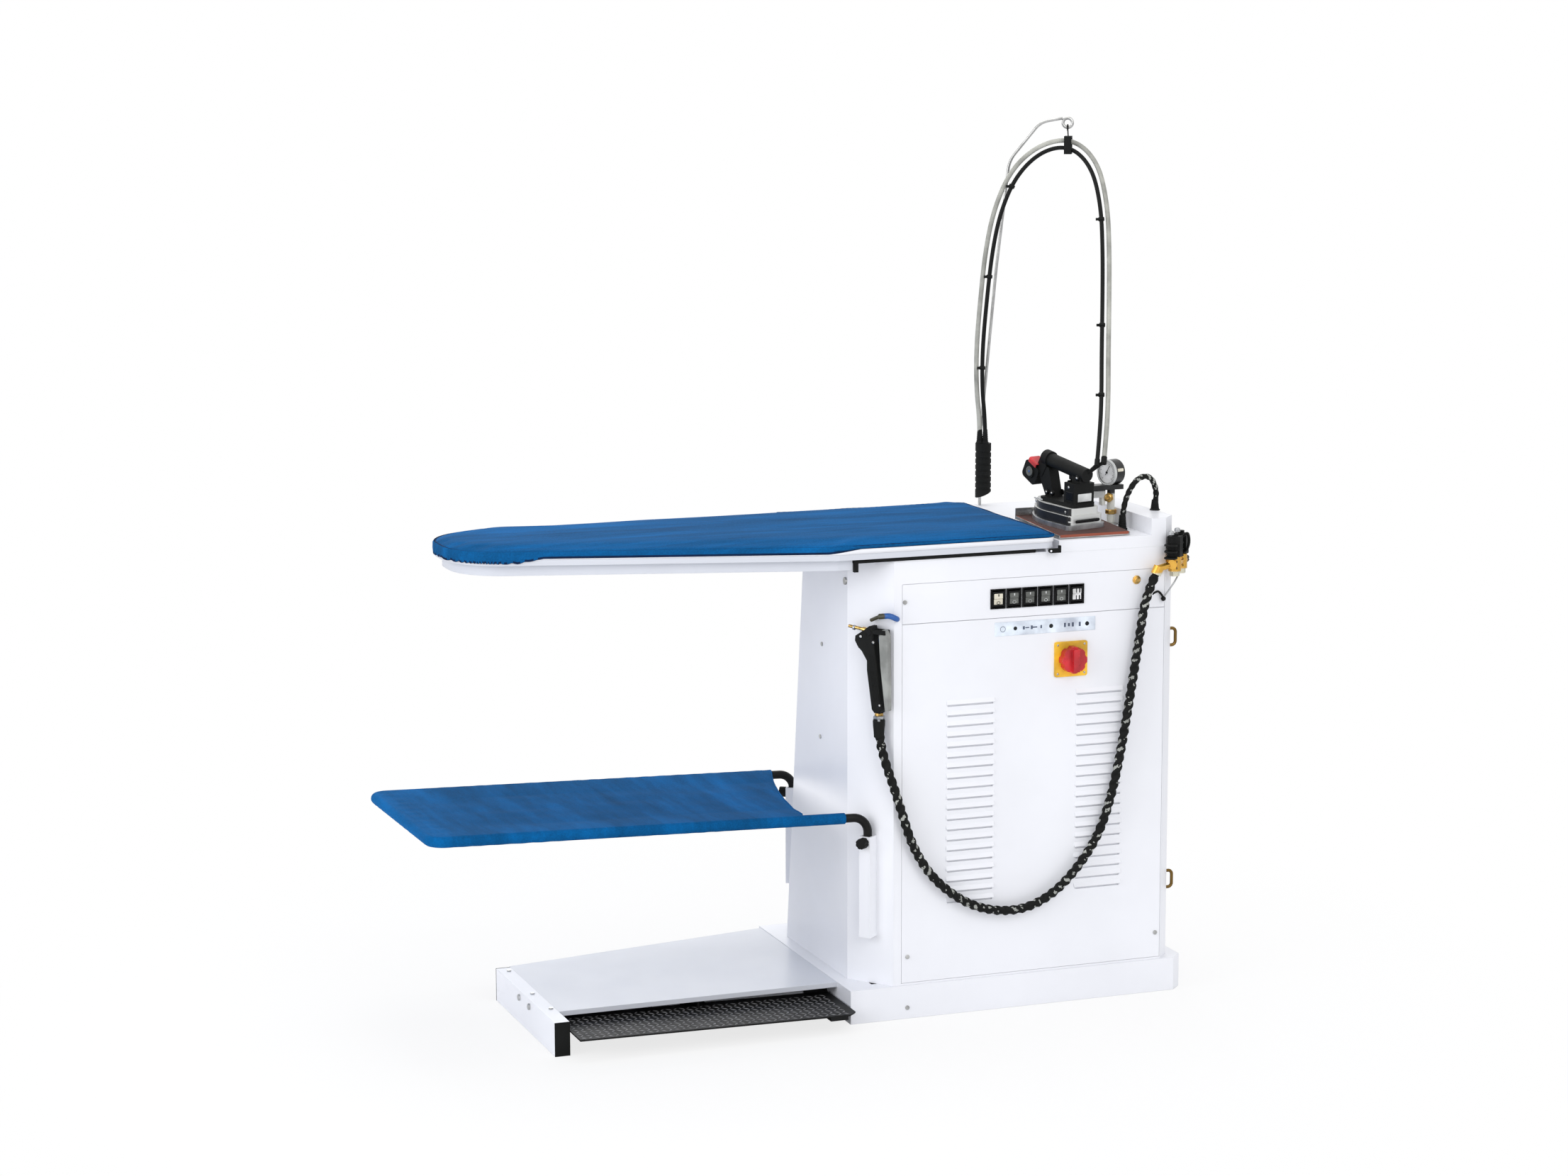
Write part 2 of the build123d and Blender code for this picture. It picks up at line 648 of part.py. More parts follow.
def cabinet_shell():
    """Folded outer shell: column, corners and frames behind the removable panels."""
    shell = cabinet_body(0, BASE_HEIGHT, CAB_TOP) - cabinet_body(SHEET, BASE_HEIGHT - 1, CAB_TOP + 1)
    front_in = CAB_FRONT + SHEET
    back_in = CAB_BACK - SHEET
    right_in = CAB_RIGHT - SHEET
    shell = shell - panel_opening(CAB_FRONT - 1, front_in, PANEL_FOOT, STRIP_TOP)
    shell = shell - back_opening(back_in, CAB_BACK + 1)
    shell = shell - side_opening(right_in, CAB_RIGHT + 1)
    front_frame = panel_opening(front_in, front_in + SHEET, PANEL_FOOT, STRIP_TOP, LEDGE / 3)
    front_frame = front_frame - panel_opening(
        front_in - 1, front_in + SHEET + 1, PANEL_FOOT, STRIP_TOP, -LEDGE)
    rail = block(PANEL_LEFT, PANEL_RIGHT, front_in, front_in + SHEET, STRIP_FOOT - LEDGE, STRIP_FOOT + LEDGE)
    back_frame = back_opening(back_in - SHEET, back_in, LEDGE / 3)
    back_frame = back_frame - back_opening(back_in - SHEET - 1, back_in + 1, -LEDGE)
    side_frame = side_opening(right_in - SHEET, right_in, LEDGE / 3)
    side_frame = side_frame - side_opening(right_in - SHEET - 1, right_in + 1, -LEDGE)
    return shell + front_frame + rail + back_frame + side_frame


def louvre_hoods(x, top, count, pitch, length, face, out):
    """Pressed hoods in one column: sloped on top, open below."""
    hoods = []
    for i in range(count):
        z = top - i * pitch
        foot = z - LOUVRE_HOOD
        wedge = Polyline((face, z), (face + out * LOUVRE_RISE, foot), (face, foot), close=True)
        side = Plane.YZ * make_face(wedge)
        hoods.append(Pos(x - length / 2, 0, 0) * extrude(side, amount=length))
    return hoods


def louvre_slots(x, top, count, pitch, length, y0, y1):
    slots = []
    for i in range(count):
        z = top - i * pitch - LOUVRE_HOOD
        slots.append(block(x - length / 2 + 3, x + length / 2 - 3, y0, y1, z - LOUVRE_SLOT, z))
    return slots


def front_panel():
    y0, y1 = CAB_FRONT, CAB_FRONT + SHEET
    panel = panel_opening(y0, y1, PANEL_FOOT, STRIP_FOOT, -SEAM)
    for x, top in zip(LOUVRE_X, LOUVRE_TOP):
        panel = panel - louvre_slots(x, top, LOUVRE_COUNT, LOUVRE_PITCH, LOUVRE_LENGTH, y0 - 1, y1 + 1)
        panel = panel + louvre_hoods(x, top, LOUVRE_COUNT, LOUVRE_PITCH, LOUVRE_LENGTH, y0, -1)
    shaft = bar((MAIN_X, y0 - 1, MAIN_Z), (MAIN_X, y1 + 1, MAIN_Z), MAIN_SHAFT_R + AIR)
    return panel - shaft


def control_strip():
    y0, y1 = CAB_FRONT, CAB_FRONT + SHEET
    strip = panel_opening(y0, y1, STRIP_FOOT, STRIP_TOP, -SEAM)
    for i in range(ROCKER_COUNT):
        x = ROCKER_FIRST_X + i * ROCKER_PITCH
        w, h = BEZEL_WIDTH / 2 - 1, BEZEL_HEIGHT / 2 - 1
        strip = strip - block(x - w, x + w, y0 - 1, y1 + 1, ROCKER_Z - h, ROCKER_Z + h)
    return strip


def back_panel():
    """Rear panel with the fan's outlet louvres."""
    y0, y1 = CAB_BACK - SHEET, CAB_BACK
    panel = back_opening(y0, y1, -SEAM)
    top = SCROLL_FOOT + SCROLL_HEIGHT
    panel = panel - louvre_slots(DUCT_X, top, OUTLET_COUNT, OUTLET_PITCH, LOUVRE_LENGTH, y0 - 1, y1 + 1)
    return panel + louvre_hoods(DUCT_X, top, OUTLET_COUNT, OUTLET_PITCH, LOUVRE_LENGTH, y1, 1)


def side_panel():
    return side_opening(CAB_RIGHT - SHEET, CAB_RIGHT, -SEAM)


def cord_hooks():
    """Two bent wire hooks on the right side, for winding up a lead."""
    bend = 2.5 * CORD_HOOK_WIRE
    half = CORD_HOOK_HEIGHT / 2
    tip = CAB_RIGHT + CORD_HOOK_REACH
    y = CAB_FRONT + CORNER_CUT_Y + LEDGE / 2
    hooks = []
    for z in CORD_HOOK_Z:
        path = [(CAB_RIGHT, y, z - half), (tip, y, z - half), (tip, y, z + half), (CAB_RIGHT, y, z + half)]
        hooks.append(swept(path, [bend, bend], Circle(CORD_HOOK_WIRE)))
    return Compound(children=hooks)


def deck():
    """Top sheet with the raised iron shelf and the valve housing pressed into it."""
    sheet = cabinet_body(0, CAB_TOP, DECK_TOP)
    half = DUCT_SIZE / 2 + SEAM
    sheet = sheet - block(
        DUCT_X - half, DUCT_X + half, DUCT_Y - half, DUCT_Y + half, CAB_TOP - 1, DECK_TOP + 1)
    far = 2 * BASE_LENGTH
    shelf = cabinet_body(0, DECK_TOP, SHELF_TOP) & block(SHELF_LEFT, far, -far, far, 0, far)
    hollow = cabinet_body(SHEET, CAB_TOP, SHELF_TOP - SHEET)
    hollow = hollow & block(SHELF_LEFT + SHEET, far, -far, far, 0, far)
    top = CAB_FRONT + HOUSING_DEPTH
    housing = cabinet_body(0, SHELF_TOP, HOUSING_TOP) & block(HOUSING_LEFT, far, -far, top, 0, far)
    inside = cabinet_body(SHEET, SHELF_TOP - SHEET, HOUSING_TOP - SHEET)
    inside = inside & block(HOUSING_LEFT + SHEET, far, -far, top - SHEET, 0, far)
    x, y, z = latch_pivot()
    wide = LATCH_THICK + 2
    lug = block(x - wide / 2, x + wide / 2, CAB_FRONT, CAB_FRONT + LATCH_THICK, DECK_TOP, RIM_FOOT - 1)
    pin = bar((x, y - LATCH_WIDTH / 2, z), (x, CAB_FRONT, z), LATCH_PIN_R)
    return sheet + shelf + housing + lug + pin - hollow - inside


def board_plan(grow):
    """Board outline: square heel, front edge drawn in towards a round nose."""
    outline = make_face(Polyline(
        (BOARD_RIGHT, BOARD_FRONT), (BOARD_RIGHT, BOARD_REAR), (BOARD_LEFT, BOARD_REAR),
        (BOARD_LEFT, NOSE_FRONT), (TAPER_X, BOARD_FRONT), close=True))
    for x, y, radius in (
            (BOARD_RIGHT, BOARD_FRONT, HEEL_R), (BOARD_RIGHT, BOARD_REAR, HEEL_R),
            (BOARD_LEFT, BOARD_REAR, NOSE_R_REAR), (BOARD_LEFT, NOSE_FRONT, NOSE_R_FRONT)):
        corner = outline.vertices().sort_by_distance((x, y, 0))[0]
        outline = fillet([corner], radius)
    if grow:
        outline = offset(outline, amount=grow)
    return outline


def slab(face, z0, z1):
    return Pos(0, 0, z0) * extrude(face, amount=z1 - z0)


def suction_box():
    """White sheet box under the board: deep over the operator's side, shallow on the cabinet."""
    wall = board_plan(-COVER - AIR)
    inner = board_plan(-COVER - AIR - SHEET)
    deep_foot = RIM_TOP - NOSE_DEPTH
    edge = CAB_LEFT - 20
    far = 4 * BASE_LENGTH
    box = slab(wall, RIM_FOOT, RIM_TOP)
    low = slab(board_plan(-COVER - AIR - 14), deep_foot, RIM_FOOT) & block(-far, edge, -far, far, 0, far)
    hollow = slab(inner, RIM_FOOT + SHEET, RIM_TOP)
    low_hollow = slab(board_plan(-COVER - AIR - 14 - SHEET), deep_foot + SHEET, RIM_FOOT + SHEET)
    low_hollow = low_hollow & block(-far, edge - SHEET, -far, far, 0, far)
    half = DUCT_SIZE / 2 - DUCT_WALL
    mouth = block(DUCT_X - half, DUCT_X + half, DUCT_Y - half, DUCT_Y + half, RIM_FOOT - 1, RIM_TOP)
    return box + low - hollow - low_hollow - mouth


def perforated_plate():
    """Steel plate that carries the foam, with rows of suction holes."""
    plate = slab(board_plan(-COVER - AIR), RIM_TOP, FOAM_FOOT)
    pitch = 110.0
    hole = 9.0
    holes = []
    columns = int((BOARD_RIGHT - BOARD_LEFT) / pitch) - 1
    for i in range(columns):
        x = BOARD_RIGHT - pitch * (i + 0.8)
        for y in (BOARD_REAR - pitch * 0.7, BOARD_REAR - pitch * 1.6):
            holes.append(bar((x, y, RIM_TOP - 1), (x, y, FOAM_FOOT + 1), hole))
    return plate - holes


def board_pad():
    return slab(board_plan(-COVER - AIR), FOAM_FOOT, FOAM_TOP)


def board_cover():
    """Fitted cloth cover: a skin over the foam with a hem round the rim."""
    outer = slab(board_plan(0), RIM_TOP - COVER_SKIRT, FOAM_TOP + COVER)
    return outer - slab(board_plan(-COVER), RIM_TOP - COVER_SKIRT, FOAM_TOP)


def board_gasket():
    """Black seal between the deck and the board's rim, with a turned-down tail at the column."""
    x0, x1 = CAB_LEFT - 18, BOARD_RIGHT - 40
    y0, y1 = CAB_FRONT + GASKET_INSET - 6, BOARD_REAR - 3 * GASKET_INSET
    ring = block(x0, x1, y0, y1, DECK_TOP, RIM_FOOT)
    ring = ring - block(x0 + GASKET_WIDTH, x1 - GASKET_WIDTH, y0 + GASKET_WIDTH, y1 - GASKET_WIDTH,
                        DECK_TOP - 1, RIM_FOOT + 1)
    tail = block(x0, x0 + 8, y0, y0 + 8, DECK_TOP - 16, DECK_TOP)
    return ring + tail


def board_latch():
    """Black toggle at the board's heel, swung down on its pin to free the board."""
    x, y, z = latch_pivot()
    y0 = y - LATCH_WIDTH / 2
    y1 = y0 + LATCH_THICK
    tip = x + LATCH_LENGTH
    arm = block(x, tip, y0, y1, z - LATCH_HALF, z + LATCH_HALF) + bar((x, y0, z), (x, y1, z), LATCH_HALF)
    nose = block(tip - LATCH_HALF, tip, y0, y1, z + LATCH_HALF, z + LATCH_HALF + LATCH_NOSE)
    return arm + nose - bar((x, y0 - 1, z), (x, y1 + 1, z), LATCH_PIN_R + RUNNING_FIT)


def latch_pivot():
    return (BOARD_RIGHT - 14, CAB_FRONT - 6, DECK_TOP + GASKET / 2 - 1)


def suction_duct():
    """Square duct from the board down into a round scroll housing with a rear outlet."""
    half = DUCT_SIZE / 2
    scroll_top = SCROLL_FOOT + SCROLL_HEIGHT
    out_half = LOUVRE_LENGTH / 2
    back = CAB_BACK - 2 * SHEET
    duct = block(DUCT_X - half, DUCT_X + half, DUCT_Y - half, DUCT_Y + half, scroll_top, RIM_FOOT)
    scroll = bar((DUCT_X, DUCT_Y, SCROLL_FOOT), (DUCT_X, DUCT_Y, scroll_top), SCROLL_RADIUS)
    outlet = block(
        DUCT_X - out_half, DUCT_X + out_half, DUCT_Y, back, SCROLL_FOOT + DUCT_WALL, scroll_top - DUCT_WALL)
    body = duct + scroll + outlet
    half = half - DUCT_WALL
    body = body - block(DUCT_X - half, DUCT_X + half, DUCT_Y - half, DUCT_Y + half, scroll_top, RIM_FOOT + 1)
    z0, z1 = SCROLL_FOOT + DUCT_WALL, scroll_top - DUCT_WALL
    body = body - bar((DUCT_X, DUCT_Y, z0), (DUCT_X, DUCT_Y, z1), SCROLL_RADIUS - DUCT_WALL)
    out_half = out_half - DUCT_WALL
    body = body - block(
        DUCT_X - out_half, DUCT_X + out_half, DUCT_Y, back + 1, z0 + DUCT_WALL, z1 - DUCT_WALL)
    body = body - bar((DUCT_X, DUCT_Y, z1 - 1), (DUCT_X, DUCT_Y, scroll_top + 1), EYE_RADIUS)
    return body - bar((DUCT_X, DUCT_Y, SCROLL_FOOT - 1), (DUCT_X, DUCT_Y, z0 + 1), 2 * SHAFT_RADIUS)


def suction_motor():
    """Motor on a stand across the plinth's beams, with the scroll housing on its top flange."""
    foot = BASE_HEIGHT - SHEET
    top = SCROLL_FOOT
    flange = top - MOTOR_FLANGE
    motor = bar((DUCT_X, DUCT_Y, foot + MOTOR_FOOT), (DUCT_X, DUCT_Y, flange), MOTOR_RADIUS)
    motor = motor + bar((DUCT_X, DUCT_Y, flange), (DUCT_X, DUCT_Y, top), FLANGE_RADIUS)
    spread = MOTOR_STAND / 2
    near, back = BEAM_Y[0] - BASE_BEAM / 2, BEAM_Y[1] + BASE_BEAM / 2
    motor = motor + block(DUCT_X - spread, DUCT_X + spread, near, back, foot, foot + MOTOR_FOOT)
    seat = top - SHAFT_DEPTH
    return motor - bar((DUCT_X, DUCT_Y, seat), (DUCT_X, DUCT_Y, top + 1), SHAFT_RADIUS + RUNNING_FIT)


def suction_impeller():
    """Fan wheel with curved-back blades on its own short shaft."""
    z0 = SCROLL_FOOT + IMPELLER_GAP
    wheel = bar((DUCT_X, DUCT_Y, z0), (DUCT_X, DUCT_Y, z0 + DUCT_WALL), IMPELLER_RADIUS)
    hub = bar((DUCT_X, DUCT_Y, z0), (DUCT_X, DUCT_Y, z0 + IMPELLER_HEIGHT / 2), HUB_RADIUS)
    shaft = bar((DUCT_X, DUCT_Y, SCROLL_FOOT - SHAFT_DEPTH + AIR), (DUCT_X, DUCT_Y, z0), SHAFT_RADIUS)
    wheel = wheel + hub + shaft
    for i in range(IMPELLER_BLADES):
        turn = 360.0 / IMPELLER_BLADES * i
        blade = block(0, BLADE_LENGTH, -BLADE_THICK / 2, BLADE_THICK / 2, 0, IMPELLER_HEIGHT)
        blade = Pos(BLADE_INNER, 0, 0) * Rot(0, 0, BLADE_TURN) * blade
        wheel = wheel + Pos(DUCT_X, DUCT_Y, z0) * Rot(0, 0, turn) * blade
    return wheel


def boiler():
    """Steam drum on two saddles, with an end flange and three heating elements."""
    foot = BASE_HEIGHT - SHEET
    z = foot + BOILER_GAP + BOILER_RADIUS
    x0, x1 = BOILER_LEFT, BOILER_LEFT + BOILER_LENGTH
    drum = bar((x0, BOILER_Y, z), (x1, BOILER_Y, z), BOILER_RADIUS)
    drum = drum - bar(
        (x0 + BOILER_WALL, BOILER_Y, z), (x1 - BOILER_WALL, BOILER_Y, z), BOILER_RADIUS - BOILER_WALL)
    radius, thick = BOILER_FLANGE
    drum = drum + bar((x0 - thick, BOILER_Y, z), (x0, BOILER_Y, z), radius)
    along, radius, rise = BOILER_NECK
    top = z + BOILER_RADIUS - BOILER_WALL
    drum = drum + bar((x0 + along, BOILER_Y, top), (x0 + along, BOILER_Y, top + rise), radius)
    around = bar((x0, BOILER_Y, z), (x1, BOILER_Y, z), BOILER_RADIUS)
    for x in SADDLE_X:
        saddle = block(x, x + SADDLE_WIDTH, BEAM_Y[1] - BASE_BEAM / 2, SADDLE_REAR, foot, z)
        drum = drum + (saddle - around)
    inside = x0 + BOILER_WALL
    solids = [drum]
    for i in range(ELEMENT_COUNT):
        angle = math.radians(90 + 360 / ELEMENT_COUNT * i)
        y = BOILER_Y + math.cos(angle) * ELEMENT_RING
        h = z + math.sin(angle) * ELEMENT_RING
        solids.append(bar((inside, y, h), (inside + ELEMENT_LENGTH, y, h), ELEMENT_RADIUS))
    return Compound(children=solids)


def feed_tank():
    """Plastic water tank and the feed pump beside it."""
    foot = BASE_HEIGHT - SHEET
    x1, y0 = TANK_RIGHT, TANK_FRONT
    x0 = x1 - TANK_LENGTH
    tank = block(x0, x1, y0, y0 + TANK_DEPTH, foot, foot + TANK_HEIGHT)
    wall = TANK_WALL
    tank = tank - block(
        x0 + wall, x1 - wall, y0 + wall, y0 + TANK_DEPTH - wall, foot + wall, foot + TANK_HEIGHT - wall)
    y = BEAM_Y[0]
    z = foot + PUMP_RADIUS + PUMP_LIFT
    reach, pipe = PUMP_PIPE
    end = x0 - reach
    pump = bar((end - PUMP_LENGTH, y, z), (end, y, z), PUMP_RADIUS)
    inset = reach / 2
    half = PUMP_STAND / 2
    pump = pump + block(end - PUMP_LENGTH + inset, end - inset, y - half, y + half, foot, z)
    pump = pump + bar((end, y, z), (x0, y, z), pipe)
    return Compound(children=[tank, pump])


def control_box():
    """Electrical box behind the control strip, on two arms from the strip's rail."""
    back = CONTROL_FRONT + CONTROL_DEPTH
    box = block(CONTROL_LEFT, CONTROL_RIGHT, CONTROL_FRONT, back, CONTROL_FOOT, CONTROL_TOP)
    rail_back = CAB_FRONT + 2 * SHEET
    reach = CONTROL_FRONT + 2 * CONTROL_ARM
    for x in (CONTROL_LEFT - CONTROL_ARM, CONTROL_RIGHT):
        box = box + block(x, x + CONTROL_ARM, rail_back, reach, STRIP_FOOT - LEDGE, STRIP_FOOT + LEDGE)
    return box


def guide_centre(rear):
    """Axis of a tray guide, half the guide's width out from its facet at the guide's foot."""
    if rear:
        lean = TAPER_DEPTH * (GUIDE_FOOT - TAPER_START) / (CAB_TOP - TAPER_START)
        return REAR_START - Vector(0, lean, 0) + REAR_ALONG * GUIDE_REAR_S + REAR_OUT * GUIDE_HALF
    return FACET_START + FACET_ALONG * GUIDE_FRONT_S + FACET_OUT * GUIDE_HALF


def tray_guides():
    """Two square guide tubes on the column's facets, drilled for the clamp studs."""
    half = GUIDE_HALF
    column = cabinet_body(0, BASE_HEIGHT, CAB_TOP)
    guides = []
    for rear, out in ((False, FACET_OUT), (True, REAR_OUT)):
        wedge = GUIDE_WEDGE if rear else 0.0
        guide = block(-half - wedge, half, -half, half, GUIDE_FOOT, GUIDE_TOP)
        inner = half - GUIDE_WALL
        guide = guide - block(-inner, inner, -inner, inner, GUIDE_FOOT + GUIDE_WALL, GUIDE_TOP + 1)
        guide = guide - bar((0, 0, KNOB_Z), (2 * half, 0, KNOB_Z), KNOB_STUD + RUNNING_FIT)
        guide = frame_of(guide_centre(rear), out) * guide
        guides.append(guide - column if rear else guide)
    return Compound(children=guides)


def tray_knob(rear):
    """Clamp knob with its stud through the guide's wall, turning about the facet's normal."""
    half = GUIDE_HALF
    out = REAR_OUT if rear else FACET_OUT
    place = frame_of(guide_centre(rear), out)
    knob = bar((half + AIR, 0, KNOB_Z), (half + AIR + KNOB_LENGTH, 0, KNOB_Z), KNOB_RADIUS)
    reach = KNOB_RADIUS + KNOB_NOTCH_R / 2
    for i in range(KNOB_NOTCHES):
        angle = math.radians(360 / KNOB_NOTCHES * i)
        y = math.cos(angle) * reach
        z = KNOB_Z + math.sin(angle) * reach
        knob = knob - bar((half - 1, y, z), (half + KNOB_LENGTH + 2, y, z), KNOB_NOTCH_R)
    stud = bar((TUBE_RADIUS + STUD_CLEAR, 0, KNOB_Z), (half + 1, 0, KNOB_Z), KNOB_STUD)
    return place * (knob + stud)


def tray_z(x, y):
    """Height of the tray's plane, which rises to its free end and falls to the back."""
    front, rear = guide_centre(False), guide_centre(True)
    rise = TRAY_RISE * (front.X - x) / (front.X - TRAY_LEFT)
    return TRAY_BEND_Z + rise - TRAY_DROP * (y - front.Y) / (rear.Y - front.Y)


def tray_corner(x, y):
    return (x, y, tray_z(x, y))


def tray_points():
    front, rear = guide_centre(False), guide_centre(True)
    foot = GUIDE_FOOT + GUIDE_WALL + AIR
    return [
        (front.X, front.Y, foot), tray_corner(front.X, front.Y), tray_corner(TRAY_LEFT, front.Y),
        tray_corner(TRAY_LEFT, rear.Y), tray_corner(rear.X, rear.Y), (rear.X, rear.Y, foot)]


def tray_frame():
    """Bent tube with two rails and a crossbar, welded on the two legs that stand in the guides."""
    radii = [TRAY_BEND_R, TRAY_CORNER_R, TRAY_CORNER_R, TRAY_BEND_R]
    points = tray_points()
    tube = swept(points, radii, Circle(TUBE_RADIUS)) - swept(points, radii, Circle(TUBE_RADIUS - TUBE_WALL))
    weld = GUIDE_TOP + TRAY_SPLIT
    far = 2 * BASE_LENGTH
    legs = tube & block(-far, far, -far, far, 0, weld)
    rails = tube & block(-far, far, -far, far, weld, far)
    return Compound(children=rails.solids() + legs.solids())


def tray_cloth():
    """Sling: sleeves round three rails and one panel laid over them, cut in at the right."""
    front, rear = guide_centre(False), guide_centre(True)
    front_end = front.X - TRAY_BEND_R - CLOTH_MARGIN
    rear_end = rear.X - TRAY_BEND_R - CLOTH_MARGIN
    path = [
        tray_corner(front_end, front.Y), tray_corner(TRAY_LEFT, front.Y),
        tray_corner(TRAY_LEFT, rear.Y), tray_corner(rear_end, rear.Y)]
    bore = TUBE_RADIUS + AIR
    radii = [TRAY_CORNER_R, TRAY_CORNER_R]
    sleeve = swept(path, radii, Circle(bore + CLOTH)) - swept(path, radii, Circle(bore))
    corner, left, right = (Vector(*path[i]) for i in (1, 2, 0))
    along, across = right - corner, left - corner
    length, depth = along.length, across.length
    back = length + rear_end - front_end
    r = TRAY_CORNER_R
    tuck = r * (1 - math.sqrt(0.5))
    edge = make_face([
        Line((r, 0), (length - CLOTH_CUT, 0)),
        ThreePointArc(
            (length - CLOTH_CUT, 0), (length - CLOTH_CUT + CLOTH_BOW, depth / 2), (back - 2, depth)),
        Line((back - 2, depth), (r, depth)),
        ThreePointArc((r, depth), (tuck, depth - tuck), (0, depth - r)),
        Line((0, depth - r), (0, r)),
        ThreePointArc((0, r), (tuck, tuck), (r, 0))])
    flat = Plane(origin=corner, x_dir=along.normalized(), z_dir=along.cross(across).normalized())
    return sleeve + flat.location * Pos(0, 0, bore) * extrude(edge, amount=CLOTH)


def switch_frame():
    """Six switch bezels with their bodies behind the strip."""
    y0 = CAB_FRONT - BEZEL_RISE
    frames = []
    for i in range(ROCKER_COUNT):
        x = ROCKER_FIRST_X + i * ROCKER_PITCH
        w, h = BEZEL_WIDTH / 2, BEZEL_HEIGHT / 2
        bezel = block(x - w, x + w, y0, CAB_FRONT, ROCKER_Z - h, ROCKER_Z + h)
        w, h = w - 1 - AIR, h - 1 - AIR
        bezel = bezel + block(x - w, x + w, CAB_FRONT, CAB_FRONT + BEZEL_DEPTH, ROCKER_Z - h, ROCKER_Z + h)
        w, h = ROCKER_WIDTH / 2 + ROCKER_CLEAR, ROCKER_HEIGHT / 2 + 2.2
        bezel = bezel - block(x - w, x + w, y0 - 1, CAB_FRONT + BEZEL_DEPTH - 4, ROCKER_Z - h, ROCKER_Z + h)
        pivot = (CAB_FRONT + ROCKER_SWING, ROCKER_Z)
        pin = bar((x - w - 1, *pivot), (x + w + 1, *pivot), 2)
        frames.append(bezel + pin)
    return Compound(children=frames)


def rocker(i):
    """One rocker key: a shallow V in front of its pivot pin."""
    x = ROCKER_FIRST_X + i * ROCKER_PITCH
    y = CAB_FRONT + ROCKER_SWING
    half = ROCKER_HEIGHT / 2
    face = CAB_FRONT - BEZEL_RISE
    side = make_face(Polyline(
        (face - 2.4, ROCKER_Z + half), (face + 0.9, ROCKER_Z), (face + 0.2, ROCKER_Z - half),
        (y + 3.0, ROCKER_Z - half + 3), (y + 5.0, ROCKER_Z), (y + 1.5, ROCKER_Z + half - 1), close=True))
    key = Pos(x - ROCKER_WIDTH / 2, 0, 0) * extrude(Plane.YZ * side, amount=ROCKER_WIDTH)
    pin = bar((x - ROCKER_WIDTH, y, ROCKER_Z), (x + ROCKER_WIDTH, y, ROCKER_Z), 2 + RUNNING_FIT)
    return key - pin


def main_switch_plate():
    half = MAIN_PLATE / 2
    y0, y1 = CAB_FRONT - MAIN_PLATE_THICK, CAB_FRONT
    plate = block(MAIN_X - half, MAIN_X + half, y0, y1, MAIN_Z - half, MAIN_Z + half)
    plate = fillet(plate.edges().filter_by(Axis.Y), 4)
    return plate - bar((MAIN_X, y0 - 1, MAIN_Z), (MAIN_X, y1 + 1, MAIN_Z), MAIN_SHAFT_R + RUNNING_FIT)


def main_switch_knob():
    """Eight-lobed turning knob with a grip bar and its shaft through the panel."""
    y1 = CAB_FRONT - MAIN_PLATE_THICK - AIR
    y0 = y1 - MAIN_KNOB_RISE
    knob = bar((MAIN_X, y0 + 9, MAIN_Z), (MAIN_X, y1, MAIN_Z), MAIN_KNOB_R)
    for i in range(8):
        angle = math.radians(45 * i + 22.5)
        x = MAIN_X + math.cos(angle) * (MAIN_KNOB_R + 4)
        z = MAIN_Z + math.sin(angle) * (MAIN_KNOB_R + 4)
        knob = knob - bar((x, y0 - 1, z), (x, y1 + 1, z), 6.5)
    grip = block(MAIN_X - 6, MAIN_X + 6, y0, y0 + 9, MAIN_Z - MAIN_KNOB_R + 4, MAIN_Z + MAIN_KNOB_R - 4)
    shaft = bar((MAIN_X, y1, MAIN_Z), (MAIN_X, CONTROL_FRONT - AIR, MAIN_Z), MAIN_SHAFT_R)
    return knob + grip + shaft


def gun_place():
    """Frame of the steam gun: X along the facet, Y into it, Z up, zero at the handle's top."""
    origin = facet_point(GUN_S, GUN_STAND, GUN_Z)
    return frame_of(origin, FACET_ALONG)


def gun_outline():
    """Grip and rounded head in profile: X along the facet, Y up, zero at the grip's top."""
    nose = GUN_BACK - GUN_HEAD_WIDTH
    top, foot = GUN_HEAD_HEIGHT, -GUN_LENGTH
    left = GUN_BACK - GUN_WAIST
    return make_face(Polyline(
        (GUN_BACK - 1, top - 8), (GUN_BACK, top - 24), (GUN_BACK + 7.5, -17), (GUN_BACK + 17, foot + 6),
        (GUN_BACK + 13, foot), (GUN_BACK + 2, foot + 1), (GUN_BACK - 3, foot + 7), (left, -28), (left, -11),
        (nose + 15, 5), (nose + 6, 14), (nose, 24), (nose + 1, 33), (nose + 19, top - 8), (nose + 30, top),
        (GUN_BACK - 3, top), close=True))


def gun_core():
    core = Pos(0, GUN_THICK / 2, 0) * extrude(Plane.XZ * gun_outline(), amount=GUN_THICK)
    return chamfer(core.faces().filter_by(Axis.Y).edges(), 2)


def gun_body():
    """Black grip and head with two ears that hold the trigger's pin."""
    x, z = TRIGGER_X, TRIGGER_Z
    body = gun_core()
    half = TRIGGER_THICK / 2 + AIR
    for y in (-half - GUN_EAR, half):
        body = body + block(GUN_BACK - 8, x + TRIGGER_BOSS_R, y, y + GUN_EAR, z - 4, z + 4)
    body = body + bar((x, -half - GUN_EAR, z), (x, half + GUN_EAR, z), TRIGGER_PIVOT_R)
    return gun_place() * body


